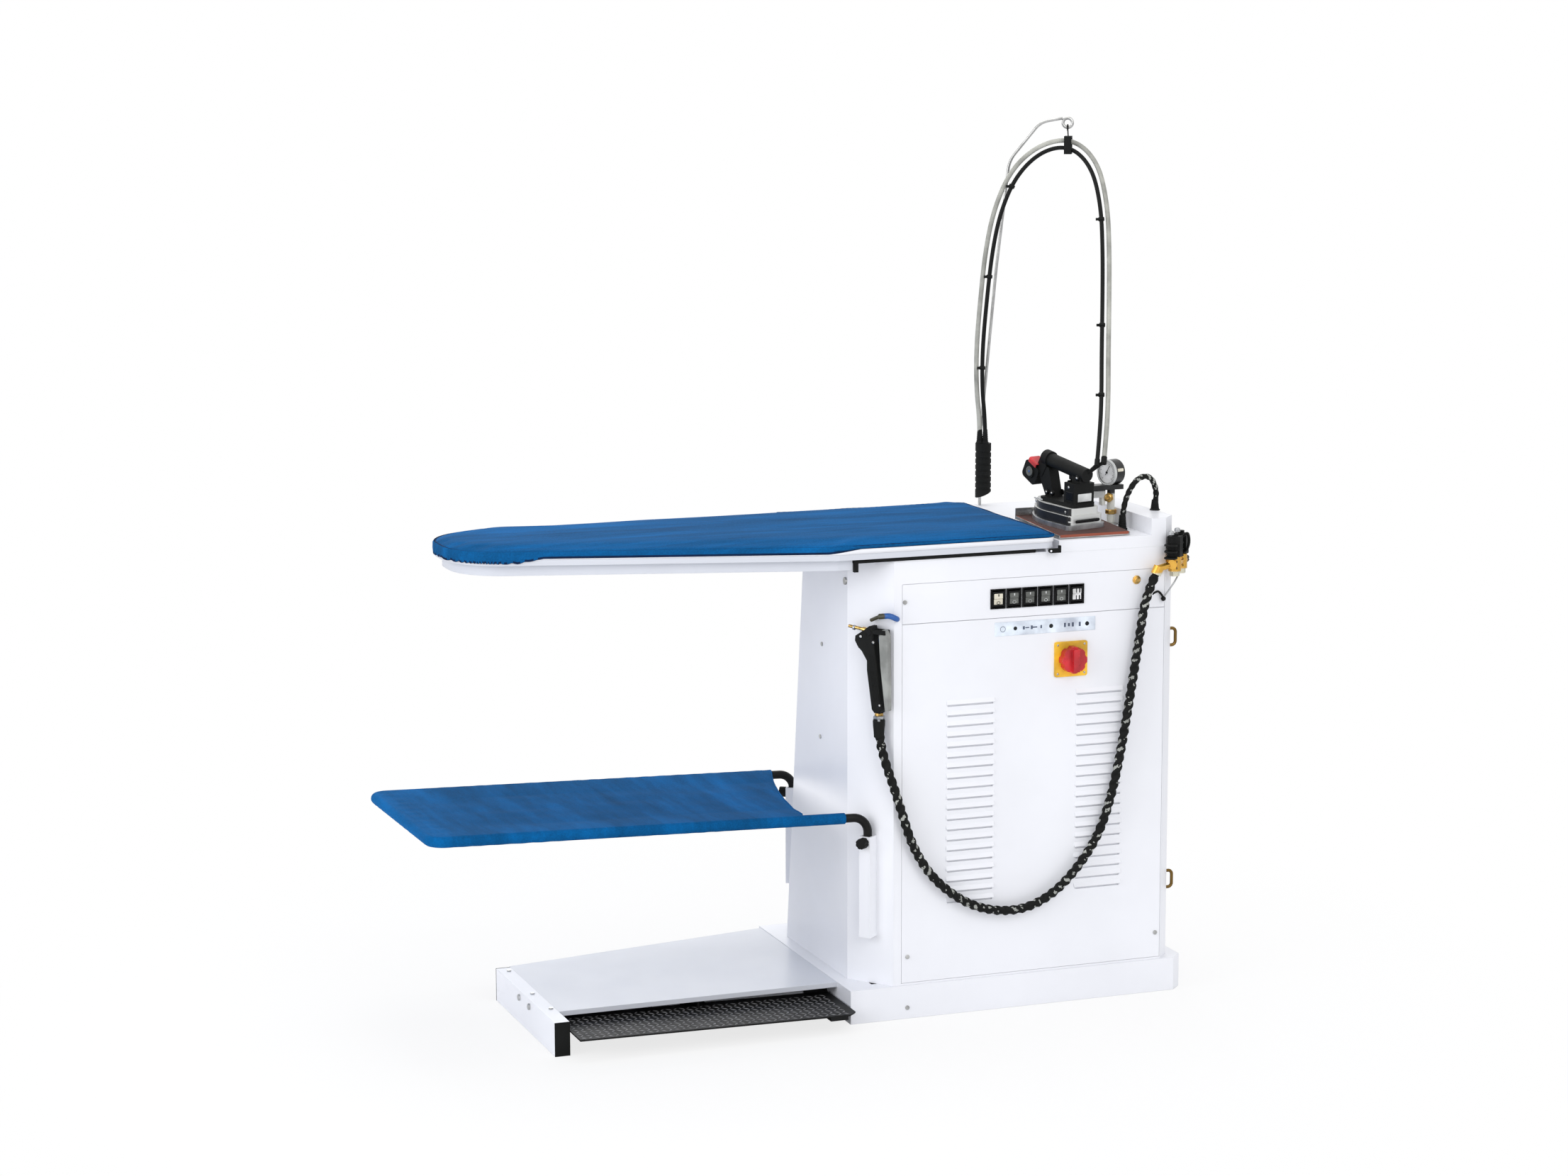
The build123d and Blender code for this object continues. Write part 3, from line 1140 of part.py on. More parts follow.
def gun_hook():
    """Wire hook over the gun with a plastic sleeve, and the bracket that the gun hangs on."""
    wire = swept(HOOK_POINTS, HOOK_RADII, Circle(HOOK_WIRE_R))
    sleeve = swept(HOOK_POINTS[:4], HOOK_RADII[:2], Circle(HOOK_SLEEVE_R))
    seat = block(
        GUN_BACK - 2 - GUN_SEAT_WIDTH, GUN_BACK - 2, GUN_THICK / 2, GUN_STAND - AIR, 2, GUN_HEAD_HEIGHT / 2)
    return Compound(children=[wire + sleeve, gun_place() * seat])


def gun_nozzle():
    """Brass nozzle out of the head and the brass hose tail under the grip."""
    place = gun_place()
    tip, root = (NOZZLE_TIP[0], 0, NOZZLE_TIP[1]), (NOZZLE_ROOT[0], 0, NOZZLE_ROOT[1])
    nozzle = bar(tip, root, NOZZLE_R)
    aim = (Vector(*tip) - Vector(*root)).normalized()
    nozzle = nozzle + bar(root, tuple(Vector(*root) + aim * NOZZLE_NUT), NOZZLE_NUT_R)
    nozzle = nozzle - gun_core()
    tail = bar((GUN_LEAN, 0, TAIL_FOOT), (GUN_LEAN, 0, -GUN_LENGTH), TAIL_R)
    return Compound(children=[place * nozzle, place * tail])


def gun_trigger():
    """Steel squeeze lever along the grip, a channel open to the grip and hinged at the head."""
    x, z = TRIGGER_X, TRIGGER_Z
    outline = (
        (x - TRIGGER_BOSS_R, z), (x - TRIGGER_REACH, z - 9), (x - 6, -17), (x + 4, TRIGGER_FOOT),
        (x + 11, TRIGGER_FOOT), (x + 10, -20), (x + 9, z - 7), (x + TRIGGER_BOSS_R, z))
    lever = make_face(Polyline(*outline, close=True))
    half = TRIGGER_THICK / 2
    solid = Pos(0, half, 0) * extrude(Plane.XZ * lever, amount=TRIGGER_THICK)
    channel = half - TRIGGER_WALL
    inside = Pos(-TRIGGER_WALL, channel, 0) * extrude(Plane.XZ * lever, amount=2 * channel)
    inside = inside & block(-x, 2 * x, -half, half, 2 * TRIGGER_FOOT, z - TRIGGER_REACH)
    solid = solid - inside + bar((x, -half, z), (x, half, z), TRIGGER_BOSS_R)
    return gun_place() * (solid - bar((x, -half - 1, z), (x, half + 1, z), TRIGGER_PIVOT_R + RUNNING_FIT))


def valve_place():
    origin = CORNER_MID + CORNER_OUT * VALVE_STAND + Vector(0, 0, VALVE_Z)
    return frame_of(origin, CORNER_ALONG)


def hexagon(start, end, radius):
    """Hexagonal nut between two points."""
    a, b = Vector(*start), Vector(*end)
    run = b - a
    stand = Plane(origin=a, z_dir=run.normalized())
    return stand.location * extrude(RegularPolygon(radius, 6), amount=run.length)


def hose_tail(points, diameter, depth, target):
    """Ferrule on a hose's last end and a neck from it to the fitting."""
    end, before = Vector(*points[-1]), Vector(*points[-2])
    aim = (end - before).normalized()
    ferrule = bar(tuple(end), tuple(end + aim * depth), diameter / 2 + 1)
    return ferrule + bar(tuple(end + aim * (depth - 4)), tuple(target), diameter * 0.35)


def valve_bodies():
    """Brass manifold with two valve bodies, its wall plate and the hose outlet."""
    end = VALVE_SPREAD + VALVE_BODY_R + 3
    body = bar((-end, 0, 0), (end, 0, 0), VALVE_PIPE_R)
    for x in (-VALVE_SPREAD, VALVE_SPREAD):
        low = -VALVE_BODY_HEIGHT / 2
        body = body + bar((x, 0, low), (x, 0, -low), VALVE_BODY_R)
        body = body + hexagon((x, 0, low - 9), (x, 0, low), FITTING_R)
    wall = VALVE_STAND - AIR
    body = body + block(-12, 12, 0, wall, -VALVE_PIPE_R, VALVE_PIPE_R)
    body = valve_place() * body
    inlet = (valve_place() * Pos(-VALVE_SPREAD, 0, 0)).position
    return body + hose_tail(GUN_HOSE, GUN_HOSE_D, 16.0, inlet)


def valve_coils():
    place = valve_place()
    coils = []
    z0 = VALVE_BODY_HEIGHT / 2
    half = COIL_SIZE / 2
    for x in (-VALVE_SPREAD, VALVE_SPREAD):
        coil = block(x - half + 3, x + half - 3, -half, half, z0, z0 + COIL_HEIGHT)
        coil = coil + bar((x, 0, z0), (x, 0, z0 + COIL_HEIGHT - 4), half - 1)
        coil = coil + bar((x, 0, z0 + COIL_HEIGHT), (x, 0, z0 + COIL_HEIGHT + 5), 6)
        coils.append(place * coil)
    return Compound(children=coils)


def valve_knob():
    """Small black hand knob on the manifold's free end."""
    x0 = VALVE_SPREAD + VALVE_BODY_R + 3 + AIR
    knob = bar((x0, 0, 0), (x0 + VALVE_KNOB_LENGTH, 0, 0), VALVE_KNOB_R)
    for i in range(6):
        angle = math.radians(60 * i)
        y, z = math.cos(angle) * (VALVE_KNOB_R + 1), math.sin(angle) * (VALVE_KNOB_R + 1)
        knob = knob - bar((x0 + 2, y, z), (x0 + VALVE_KNOB_LENGTH + 1, y, z), 2.2)
    return valve_place() * knob


def eye_centre():
    top = Vector(*ROD_POINTS[-1])
    return Vector(top.X + EYE_RING, top.Y - 4, top.Z - EYE_RING)


def hanger_rod():
    """Spring steel rod from the deck up to its eye over the ironing place."""
    foot = (HANGER_X + ROD_FOOT[0], HANGER_Y + ROD_FOOT[1], SHELF_TOP)
    rod = swept((foot,) + ROD_POINTS, ROD_RADII, Circle(ROD_RADIUS))
    eye = Plane(origin=eye_centre(), x_dir=(0.9, -0.43, 0), z_dir=(0.43, 0.9, 0))
    return rod + eye.location * Torus(EYE_RING, ROD_RADIUS)


def hose_grips():
    """Ribbed rubber sleeve round the rod's foot, and the strap that holds both hoses up at the eye."""
    x, y = HANGER_X, HANGER_Y
    rod_x, rod_y = x + ROD_FOOT[0], y + ROD_FOOT[1]
    sleeve = bar((x, y, SLEEVE_FOOT), (x, y, SLEEVE_TOP), SLEEVE_RADIUS)
    sleeve = sleeve - bar((rod_x, rod_y, SLEEVE_FOOT - 1), (rod_x, rod_y, SLEEVE_TOP + 1), ROD_RADIUS + AIR)
    first = SLEEVE_FOOT + SLEEVE_SLANT + 3
    for i in range(SLEEVE_RINGS - 1):
        z = first + i * SLEEVE_PITCH
        ring = bar((x, y, z), (x, y, z + 4), SLEEVE_RADIUS + 1)
        sleeve = sleeve - (ring - bar((x, y, z - 1), (x, y, z + 5), SLEEVE_RADIUS - 1.2))
    left, right = x - SLEEVE_RADIUS, x + SLEEVE_RADIUS
    low = SLEEVE_FOOT - 1
    under = make_face(Polyline(
        (left, SLEEVE_FOOT), (right, SLEEVE_FOOT + SLEEVE_SLANT), (right, low), (left, low), close=True))
    sleeve = sleeve - Pos(0, y + SLEEVE_RADIUS, 0) * extrude(Plane.XZ * under, amount=2 * SLEEVE_RADIUS)
    half, tall = CLIP_WIDTH / 2, CLIP_HEIGHT / 2
    strap = Box(CLIP_LENGTH, CLIP_WIDTH, CLIP_HEIGHT)
    strap = strap - Box(CLIP_LENGTH + 1, CLIP_WIDTH - 2 * CLIP_WALL, CLIP_HEIGHT - 2 * CLIP_WALL)
    strap = Pos(*CLIP_POINT) * Rot(0, 0, CLIP_TURN) * strap
    eye = eye_centre()
    foot = Vector(eye.X, eye.Y, eye.Z - EYE_RING)
    end = Vector(CLIP_POINT[0], CLIP_POINT[1], CLIP_POINT[2] + tall - CLIP_WALL / 2)
    loop = ROD_RADIUS + LINK_R + AIR
    link = bar(tuple(foot + (end - foot).normalized() * loop), tuple(end), LINK_BAR_R)
    hold = Plane(origin=foot, z_dir=(0.9, -0.43, 0)).location * Torus(loop, LINK_R)
    return Compound(children=[sleeve, strap + link + hold])


def rest_place():
    """Frame of the iron rest: tilted up towards the back."""
    origin = Vector((REST_LEFT + REST_RIGHT) / 2, REST_FRONT, SHELF_TOP + REST_LIFT)
    return Pos(*origin) * Rot(REST_TILT, 0, 0)


def iron_rest():
    """Steel rest: a tilted plate with a low rim and a higher back, on two wedge-shaped sides."""
    half = (REST_RIGHT - REST_LEFT) / 2
    plate = block(-half, half, 0, REST_DEPTH, 0, REST_SHEET)
    for x in (-half, half - REST_SHEET):
        plate = plate + block(x, x + REST_SHEET, 0, REST_DEPTH, REST_SHEET, REST_SHEET + REST_RIM)
    back = REST_SHEET + MAT + REST_BACK
    plate = plate + block(-half, half, REST_DEPTH - REST_SHEET, REST_DEPTH, REST_SHEET, back)
    plate = rest_place() * plate
    slope = math.tan(math.radians(REST_TILT))
    y0, y1 = REST_FRONT + 6, REST_FRONT + REST_DEPTH * 0.95
    z0 = SHELF_TOP
    side = make_face(Polyline(
        (y0, z0), (y1, z0), (y1, z0 + REST_LIFT + (y1 - REST_FRONT) * slope),
        (y0, z0 + REST_LIFT + (y0 - REST_FRONT) * slope), close=True))
    for x in (REST_LEFT + 4, REST_RIGHT - 4 - REST_SHEET):
        plate = plate + Pos(x, 0, 0) * extrude(Plane.YZ * side, amount=REST_SHEET)
    return plate


def iron_mat():
    half = (REST_RIGHT - REST_LEFT) / 2 - REST_SHEET - SEAM
    return rest_place() * block(-half, half, 0, REST_DEPTH - REST_SHEET - SEAM, REST_SHEET, REST_SHEET + MAT)


def iron_place():
    """Frame of the iron: X to its tip, Z up from the sole, standing on the mat."""
    tilt = math.radians(REST_TILT)
    up = Vector(0, -math.sin(tilt), math.cos(tilt))
    surface = Vector(0, REST_FRONT, SHELF_TOP + REST_LIFT) + up * (REST_SHEET + MAT)
    height = surface.Z + (IRON_Y - surface.Y) * math.tan(tilt)
    turn = math.radians(IRON_TURN)
    ahead = Vector(math.cos(turn), math.sin(turn), 0)
    ahead = (ahead - up * ahead.dot(up)).normalized()
    return frame_of(Vector(IRON_X, IRON_Y, height), ahead, up)


def sole_outline(inset):
    """Pointed sole seen from above: square heel, sides curving in to the tip."""
    half = SOLE_WIDTH / 2 - inset
    tip = SOLE_LENGTH / 2 - inset * 1.6
    heel = -SOLE_LENGTH / 2 + inset
    waist = SOLE_LENGTH * -0.12
    mid_x, mid_y = SOLE_LENGTH * 0.24, half * 0.72
    return make_face([
        Line((heel, -half + 10), (heel, half - 10)),
        ThreePointArc((heel, half - 10), (heel + 3, half - 3), (heel + 10, half)),
        Line((heel + 10, half), (waist, half)),
        ThreePointArc((waist, half), (mid_x, mid_y), (tip - 2, 4)),
        ThreePointArc((tip - 2, 4), (tip, 0), (tip - 2, -4)),
        ThreePointArc((tip - 2, -4), (mid_x, -mid_y), (waist, -half)),
        Line((waist, -half), (heel + 10, -half)),
        ThreePointArc((heel + 10, -half), (heel + 3, -half + 3), (heel, -half + 10))])


def iron_soleplate():
    return iron_place() * extrude(sole_outline(0), amount=SOLE_THICK)


def iron_body():
    """Chrome steam chest cover over the sole, in two steps."""
    step = SOLE_THICK + SHROUD_HEIGHT * 0.55
    low = slab(sole_outline(SHROUD_INSET), SOLE_THICK, step)
    high = slab(sole_outline(SHROUD_INSET + SHROUD_STEP), step, SOLE_THICK + SHROUD_HEIGHT)
    return iron_place() * (low + high)


def iron_profile(points, width):
    """Plate of the iron's handle, cut to a side profile and centred on the iron."""
    return Pos(0, width / 2, 0) * extrude(Plane.XZ * make_face(Polyline(*points, close=True)), amount=width)


def head_place():
    """Frame of the handle's head: its X runs down to the rear along the sloping top."""
    tilt = math.radians(HEAD_TILT)
    return Plane(
        origin=(HEAD_X, 0, HEAD_Z), x_dir=(-math.cos(tilt), 0, -math.sin(tilt)),
        z_dir=(-math.sin(tilt), 0, math.cos(tilt))).location


def iron_handle():
    """Black heat guard, rear block, front post, grip and button head, as one open loop."""
    foot = SOLE_THICK + SHROUD_HEIGHT
    top = foot + GUARD_HEIGHT
    guard = block(GUARD_START, GUARD_START + GUARD_LENGTH, -GUARD_WIDTH / 2, GUARD_WIDTH / 2, foot, top)
    guard = fillet(guard.edges().filter_by(Axis.Z), 10)
    rear_end = GUARD_START + 2 + REAR_BLOCK_LENGTH
    half = REAR_BLOCK_WIDTH / 2
    rear = block(GUARD_START + 2, rear_end, -half, half, top, REAR_BLOCK_TOP)
    rear = fillet(rear.edges().filter_by(Axis.Z), 4)
    mount = block(GUARD_START + 2, rear_end - 8, -11, 11, REAR_BLOCK_TOP, GRIP_HEIGHT)
    high = GRIP_HEIGHT + GRIP_RISE
    grip = bar((GRIP_REAR, 0, GRIP_HEIGHT), (GRIP_FRONT, 0, high), GRIP_RADIUS)
    collar = bar(
        (GRIP_FRONT - 16, 0, high - 1), (GRIP_FRONT, 0, high + 1), GRIP_RADIUS + 2)
    x0 = GUARD_START + GUARD_LENGTH
    post = iron_profile([
        (x0 - 24, top), (x0, top), (x0 + 22, HEAD_Z), (x0 + 14, GRIP_HEIGHT + 2), (x0 - 8, GRIP_HEIGHT)], 22)
    neck = iron_profile([
        (GRIP_FRONT - 14, GRIP_HEIGHT), (GRIP_FRONT - 14, high + 3), (GRIP_FRONT - 2, high + 7),
        (GRIP_FRONT + 5, high - 1), (GRIP_FRONT + 14, HEAD_Z + 12), (GRIP_FRONT + 14, HEAD_Z - 2),
        (GRIP_FRONT - 2, HEAD_Z - 4)], 24)
    head = Box(HEAD_LENGTH, HEAD_WIDTH, HEAD_HEIGHT)
    head = fillet(head.edges().filter_by(Axis.Y), 8)
    disc = Rot(90, 0, 0) * Cylinder(HEAD_DISC_R, HEAD_WIDTH + 4)
    pocket = Pos(0, 0, HEAD_HEIGHT / 2) * Box(
        BUTTON_LENGTH + 2 * AIR, BUTTON_WIDTH + 2 * AIR, 2 * (BUTTON_DEPTH + BUTTON_TRAVEL + AIR))
    head = head_place() * (head + disc)
    whole = guard + rear + mount + grip + collar + post + neck + head - head_place() * pocket
    whole = iron_place() * whole
    socket = (iron_place() * Pos(GRIP_REAR + 6, 0, GRIP_HEIGHT)).position
    return whole + hose_tail(IRON_HOSE, IRON_HOSE_D, IRON_TAIL, socket) + hose_tail(
        IRON_CABLE, IRON_CABLE_D, IRON_TAIL, socket)


def iron_button():
    """Red steam button that is pushed down into the head."""
    key = Pos(0, 0, HEAD_HEIGHT / 2 + (BUTTON_RISE - BUTTON_DEPTH) / 2) * Box(
        BUTTON_LENGTH, BUTTON_WIDTH, BUTTON_RISE + BUTTON_DEPTH)
    return iron_place() * head_place() * key


def gauge_frame():
    turn = math.radians(GAUGE_TURN)
    out = Vector(math.cos(turn), math.sin(turn), 0)
    return Plane(origin=(GAUGE_X, GAUGE_Y, GAUGE_Z), x_dir=(0, 0, 1), z_dir=out).location


def pressure_gauge():
    """Round gauge on a bracket that hangs a two-legged frame beside its standpipe."""
    case = Cylinder(GAUGE_RADIUS, GAUGE_DEPTH) - Pos(0, 0, GAUGE_DEPTH / 2) * Cylinder(GAUGE_RADIUS - 3, 4)
    case = gauge_frame() * case
    plate_top = GAUGE_Z - GAUGE_RADIUS + 1
    plate = block(
        GAUGE_X + BRACKET_END - BRACKET_LENGTH, GAUGE_X + BRACKET_END,
        GAUGE_Y - BRACKET_WIDTH / 2, GAUGE_Y + BRACKET_WIDTH / 2, plate_top - BRACKET_THICK, plate_top)
    foot = plate_top - BRACKET_THICK - BRACKET_SKIRT
    left = GAUGE_X + BRACKET_END - BRACKET_LENGTH
    right = GAUGE_X - STANDPIPE_R - BRACKET_LEG
    y0, y1 = GAUGE_Y - BRACKET_WIDTH / 4, GAUGE_Y + BRACKET_WIDTH / 4
    frame = block(left, right, y0, y1, foot, plate_top - BRACKET_THICK)
    for x in (left, right - BRACKET_LEG):
        frame = frame + block(x, x + BRACKET_LEG, y0, y1, foot - BRACKET_DROP, foot)
    pipe = bar((GAUGE_X, GAUGE_Y, SHELF_TOP), (GAUGE_X, GAUGE_Y, plate_top - BRACKET_THICK), STANDPIPE_R)
    return case + plate + frame + pipe


def turn_radii(points):
    """Arc radius at each corner: as large as its two runs allow."""
    radii = []
    for i in range(1, len(points) - 1):
        a, b, c = (Vector(*points[j]) for j in (i - 1, i, i + 1))
        turn = (b - a).get_angle(c - b)
        shorter = min((b - a).length, (c - b).length)
        radii.append(0.45 * shorter / math.tan(math.radians(turn) / 2))
    return radii


def cord(name, points, diameter):
    radii = turn_radii(points)
    path = FilletPolyline(*points, radius=radii)
    tube = swept(points, radii, Circle(diameter / 2))
    section = math.pi * diameter**2 / 4
    print(name, "length", round(path.length, 1), "tightest", round(min(radii), 1),
          "volume share", round(tube.volume / (section * path.length), 4))
    return tube


def screws():
    """Panel and leg screws that show, and the blanking plug on the column."""
    heads = []
    front = CAB_FRONT
    for x, z in (
            (PANEL_LEFT + 12, PANEL_FOOT + 50), (PANEL_RIGHT - 10, PANEL_FOOT + 48),
            (PANEL_LEFT + 5, STRIP_TOP - 33)):
        heads.append(bar((x, front - SCREW_RISE, z), (x, front, z), SCREW_R))
    wall_y = CAB_FRONT + COLUMN_CUT_Y + 129
    for y, z in ((wall_y, STRIP_FOOT - 66), (wall_y + 9, STRIP_FOOT - 244)):
        heads.append(bar((CAB_LEFT - SCREW_RISE, y, z), (CAB_LEFT, y, z), SCREW_R))
    plug_y, plug_z = CAB_FRONT + COLUMN_CUT_Y + 8, CAB_TOP - 43
    heads.append(bar((CAB_LEFT - BOLT_RISE, plug_y, plug_z), (CAB_LEFT, plug_y, plug_z), PLUG_R))
    left = -LEG_LENGTH
    for x, y in (
            (left + 18, LEG_END_DEPTH - 27), (left + 16, LEG_END_DEPTH - 190), (left + 20, LEG_FRONT + 22)):
        heads.append(bar((x, y, LEG_HEIGHT), (x, y, LEG_HEIGHT + SCREW_RISE), SCREW_R))
    bolt_z = LEG_HEIGHT - 13
    for y in (LEG_END_DEPTH - 160, LEG_END_DEPTH - 225):
        heads.append(bar((left - BOLT_RISE, y, bolt_z), (left, y, bolt_z), BOLT_R))
    base_x, base_z = PANEL_LEFT + 11, BASE_HEIGHT / 3
    heads.append(bar((base_x, -SCREW_RISE, base_z), (base_x, 0, base_z), SCREW_R))
    return Compound(children=heads)


def build():
    """Every sub-part by name, in the machine's axes."""
    parts = {
        "base_pan": base_pan(),
        "leg_frame": leg_frame(),
        "leg_cover": leg_cover(),
        "leg_end_caps": leg_end_caps(),
        "foot_pedal": foot_pedal(),
        "pedal_switch": pedal_switch(),
        "cabinet_shell": cabinet_shell(),
        "front_panel": front_panel(),
        "control_strip": control_strip(),
        "back_panel": back_panel(),
        "side_panel": side_panel(),
        "cord_hooks": cord_hooks(),
        "deck": deck(),
        "suction_box": suction_box(),
        "perforated_plate": perforated_plate(),
        "board_pad": board_pad(),
        "board_cover": board_cover(),
        "board_gasket": board_gasket(),
        "board_latch": board_latch(),
        "suction_duct": suction_duct(),
        "suction_motor": suction_motor(),
        "suction_impeller": suction_impeller(),
        "boiler": boiler(),
        "feed_tank": feed_tank(),
        "control_box": control_box(),
        "tray_guides": tray_guides(),
        "tray_frame": tray_frame(),
        "tray_cloth": tray_cloth(),
        "tray_knob_front": tray_knob(False),
        "tray_knob_rear": tray_knob(True),
        "switch_frame": switch_frame(),
        "main_switch_plate": main_switch_plate(),
        "main_switch_knob": main_switch_knob(),
        "gun_hook": gun_hook(),
        "gun_body": gun_body(),
        "gun_nozzle": gun_nozzle(),
        "gun_trigger": gun_trigger(),
        "valve_bodies": valve_bodies(),
        "valve_coils": valve_coils(),
        "valve_knob": valve_knob(),
        "hanger_rod": hanger_rod(),
        "hose_grips": hose_grips(),
        "iron_rest": iron_rest(),
        "iron_mat": iron_mat(),
        "iron_soleplate": iron_soleplate(),
        "iron_body": iron_body(),
        "iron_handle": iron_handle(),
        "iron_button": iron_button(),
        "pressure_gauge": pressure_gauge(),
        "gun_hose": cord("gun_hose", GUN_HOSE, GUN_HOSE_D),
        "iron_hose": cord("iron_hose", IRON_HOSE, IRON_HOSE_D),
        "iron_cable": cord("iron_cable", IRON_CABLE, IRON_CABLE_D),
        "loop_cable": cord("loop_cable", LOOP_CABLE, LOOP_CABLE_D),
        "screws": screws(),
    }
    for i in range(ROCKER_COUNT):
        parts[f"rocker_{i + 1}"] = rocker(i)
    return parts


CORDS = ("gun_hose", "iron_hose", "iron_cable", "loop_cable")


def main():
    parts = build()
    solid = [shape.bounding_box() for name, shape in parts.items() if name not in CORDS]
    middle_x = (min(b.min.X for b in solid) + max(b.max.X for b in solid)) / 2
    middle_y = (min(b.min.Y for b in solid) + max(b.max.Y for b in solid)) / 2
    floor = min(b.min.Z for b in solid)
    print("zero of the machine's axes", round(-middle_x, 3), round(-middle_y, 3), round(-floor, 3))
    os.makedirs("parts", exist_ok=True)
    for name, shape in parts.items():
        export_step(Pos(-middle_x, -middle_y, -floor) * shape, f"parts/{name}.step")


main()
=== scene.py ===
from math import copysign, cos, hypot, pi, radians, sin, sqrt, tan

import bmesh
import bpy
from mathutils import Matrix, Vector, noise
from mathutils.bvhtree import BVHTree


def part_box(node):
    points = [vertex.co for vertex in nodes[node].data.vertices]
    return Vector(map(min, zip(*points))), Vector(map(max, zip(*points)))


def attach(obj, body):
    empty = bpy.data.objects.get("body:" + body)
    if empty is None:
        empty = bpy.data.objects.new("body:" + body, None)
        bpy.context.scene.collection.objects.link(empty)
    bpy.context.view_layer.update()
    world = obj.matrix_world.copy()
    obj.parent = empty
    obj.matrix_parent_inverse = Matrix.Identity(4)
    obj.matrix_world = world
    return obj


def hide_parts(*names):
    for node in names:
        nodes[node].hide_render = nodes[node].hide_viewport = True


# Vacuum ironing table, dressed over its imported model. Places and sizes are in
# millimetres in the machine's own axes, as in the part's source, and at() turns a
# point into the row's frame in metres.

ZERO_X = 45.054
ZERO_Y = -222.5
DECK_TOP = 877.2
UP = (0, 0, 1)
FORWARD = (0, -1, 0)

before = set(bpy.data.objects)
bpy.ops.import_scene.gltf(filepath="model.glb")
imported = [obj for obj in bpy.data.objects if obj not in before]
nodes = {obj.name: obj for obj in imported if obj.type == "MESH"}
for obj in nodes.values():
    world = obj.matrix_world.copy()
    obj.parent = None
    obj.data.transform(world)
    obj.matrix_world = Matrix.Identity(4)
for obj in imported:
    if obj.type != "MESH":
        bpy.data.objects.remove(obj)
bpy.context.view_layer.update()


def at(x, y, z):
    return Vector(((x + ZERO_X) / 1000, (y + ZERO_Y) / 1000, z / 1000))


def clamp(value):
    return max(0.0, min(1.0, value))


def placed(name, data):
    """New object of the scene."""
    obj = bpy.data.objects.new(name, data)
    bpy.context.scene.collection.objects.link(obj)
    return obj


# Camera at the photograph's viewing angle: place, then yaw, pitch and roll in degrees
CAMERA_SPOT = (-2304.2, -5890.1, 1885.8)
CAMERA_ANGLES = (20.273, -9.612, -0.160)
CAMERA_LENS = 81.768


def add_camera():
    data = bpy.data.cameras.new("camera")
    data.sensor_fit = "HORIZONTAL"
    data.sensor_width = 36
    data.lens = CAMERA_LENS
    data.clip_end = 60
    yaw, pitch, roll = (radians(a) for a in CAMERA_ANGLES)
    ahead = Vector((sin(yaw) * cos(pitch), cos(yaw) * cos(pitch), sin(pitch)))
    right = Vector((cos(yaw), -sin(yaw), 0))
    up = right.cross(ahead)
    right, up = right * cos(roll) + up * sin(roll), up * cos(roll) - right * sin(roll)
    obj = placed("camera", data)
    turn = Matrix((right, up, -ahead)).transposed().to_4x4()
    obj.matrix_world = Matrix.Translation(at(*CAMERA_SPOT)) @ turn
    bpy.context.scene.camera = obj


# Materials
def colour(r, g, b):
    """Colour as seen, 0 to 255, turned into Blender's linear values."""
    values = []
    for c in (r, g, b):
        c = c / 255
        values.append(c / 12.92 if c <= 0.04045 else ((c + 0.055) / 1.055) ** 2.4)
    return (*values, 1.0)


def fill(tree, node, values):
    """Gives a node's inputs their values; a value that is another node's output is linked."""
    for name, value in values.items():
        if isinstance(value, bpy.types.NodeSocket):
            tree.links.new(value, node.inputs[name])
        else:
            node.inputs[name].default_value = value
    return node


def new_node(tree, kind, values, operation=None):
    node = tree.nodes.new(kind)
    if operation:
        node.operation = operation
    return fill(tree, node, values)


# Blender's sine bands repeat this often along a unit at scale 1
BANDS_PER_UNIT = 3.1831
# Plastics whose colour values add up to less than this have a fainter gloss
DARK = 150


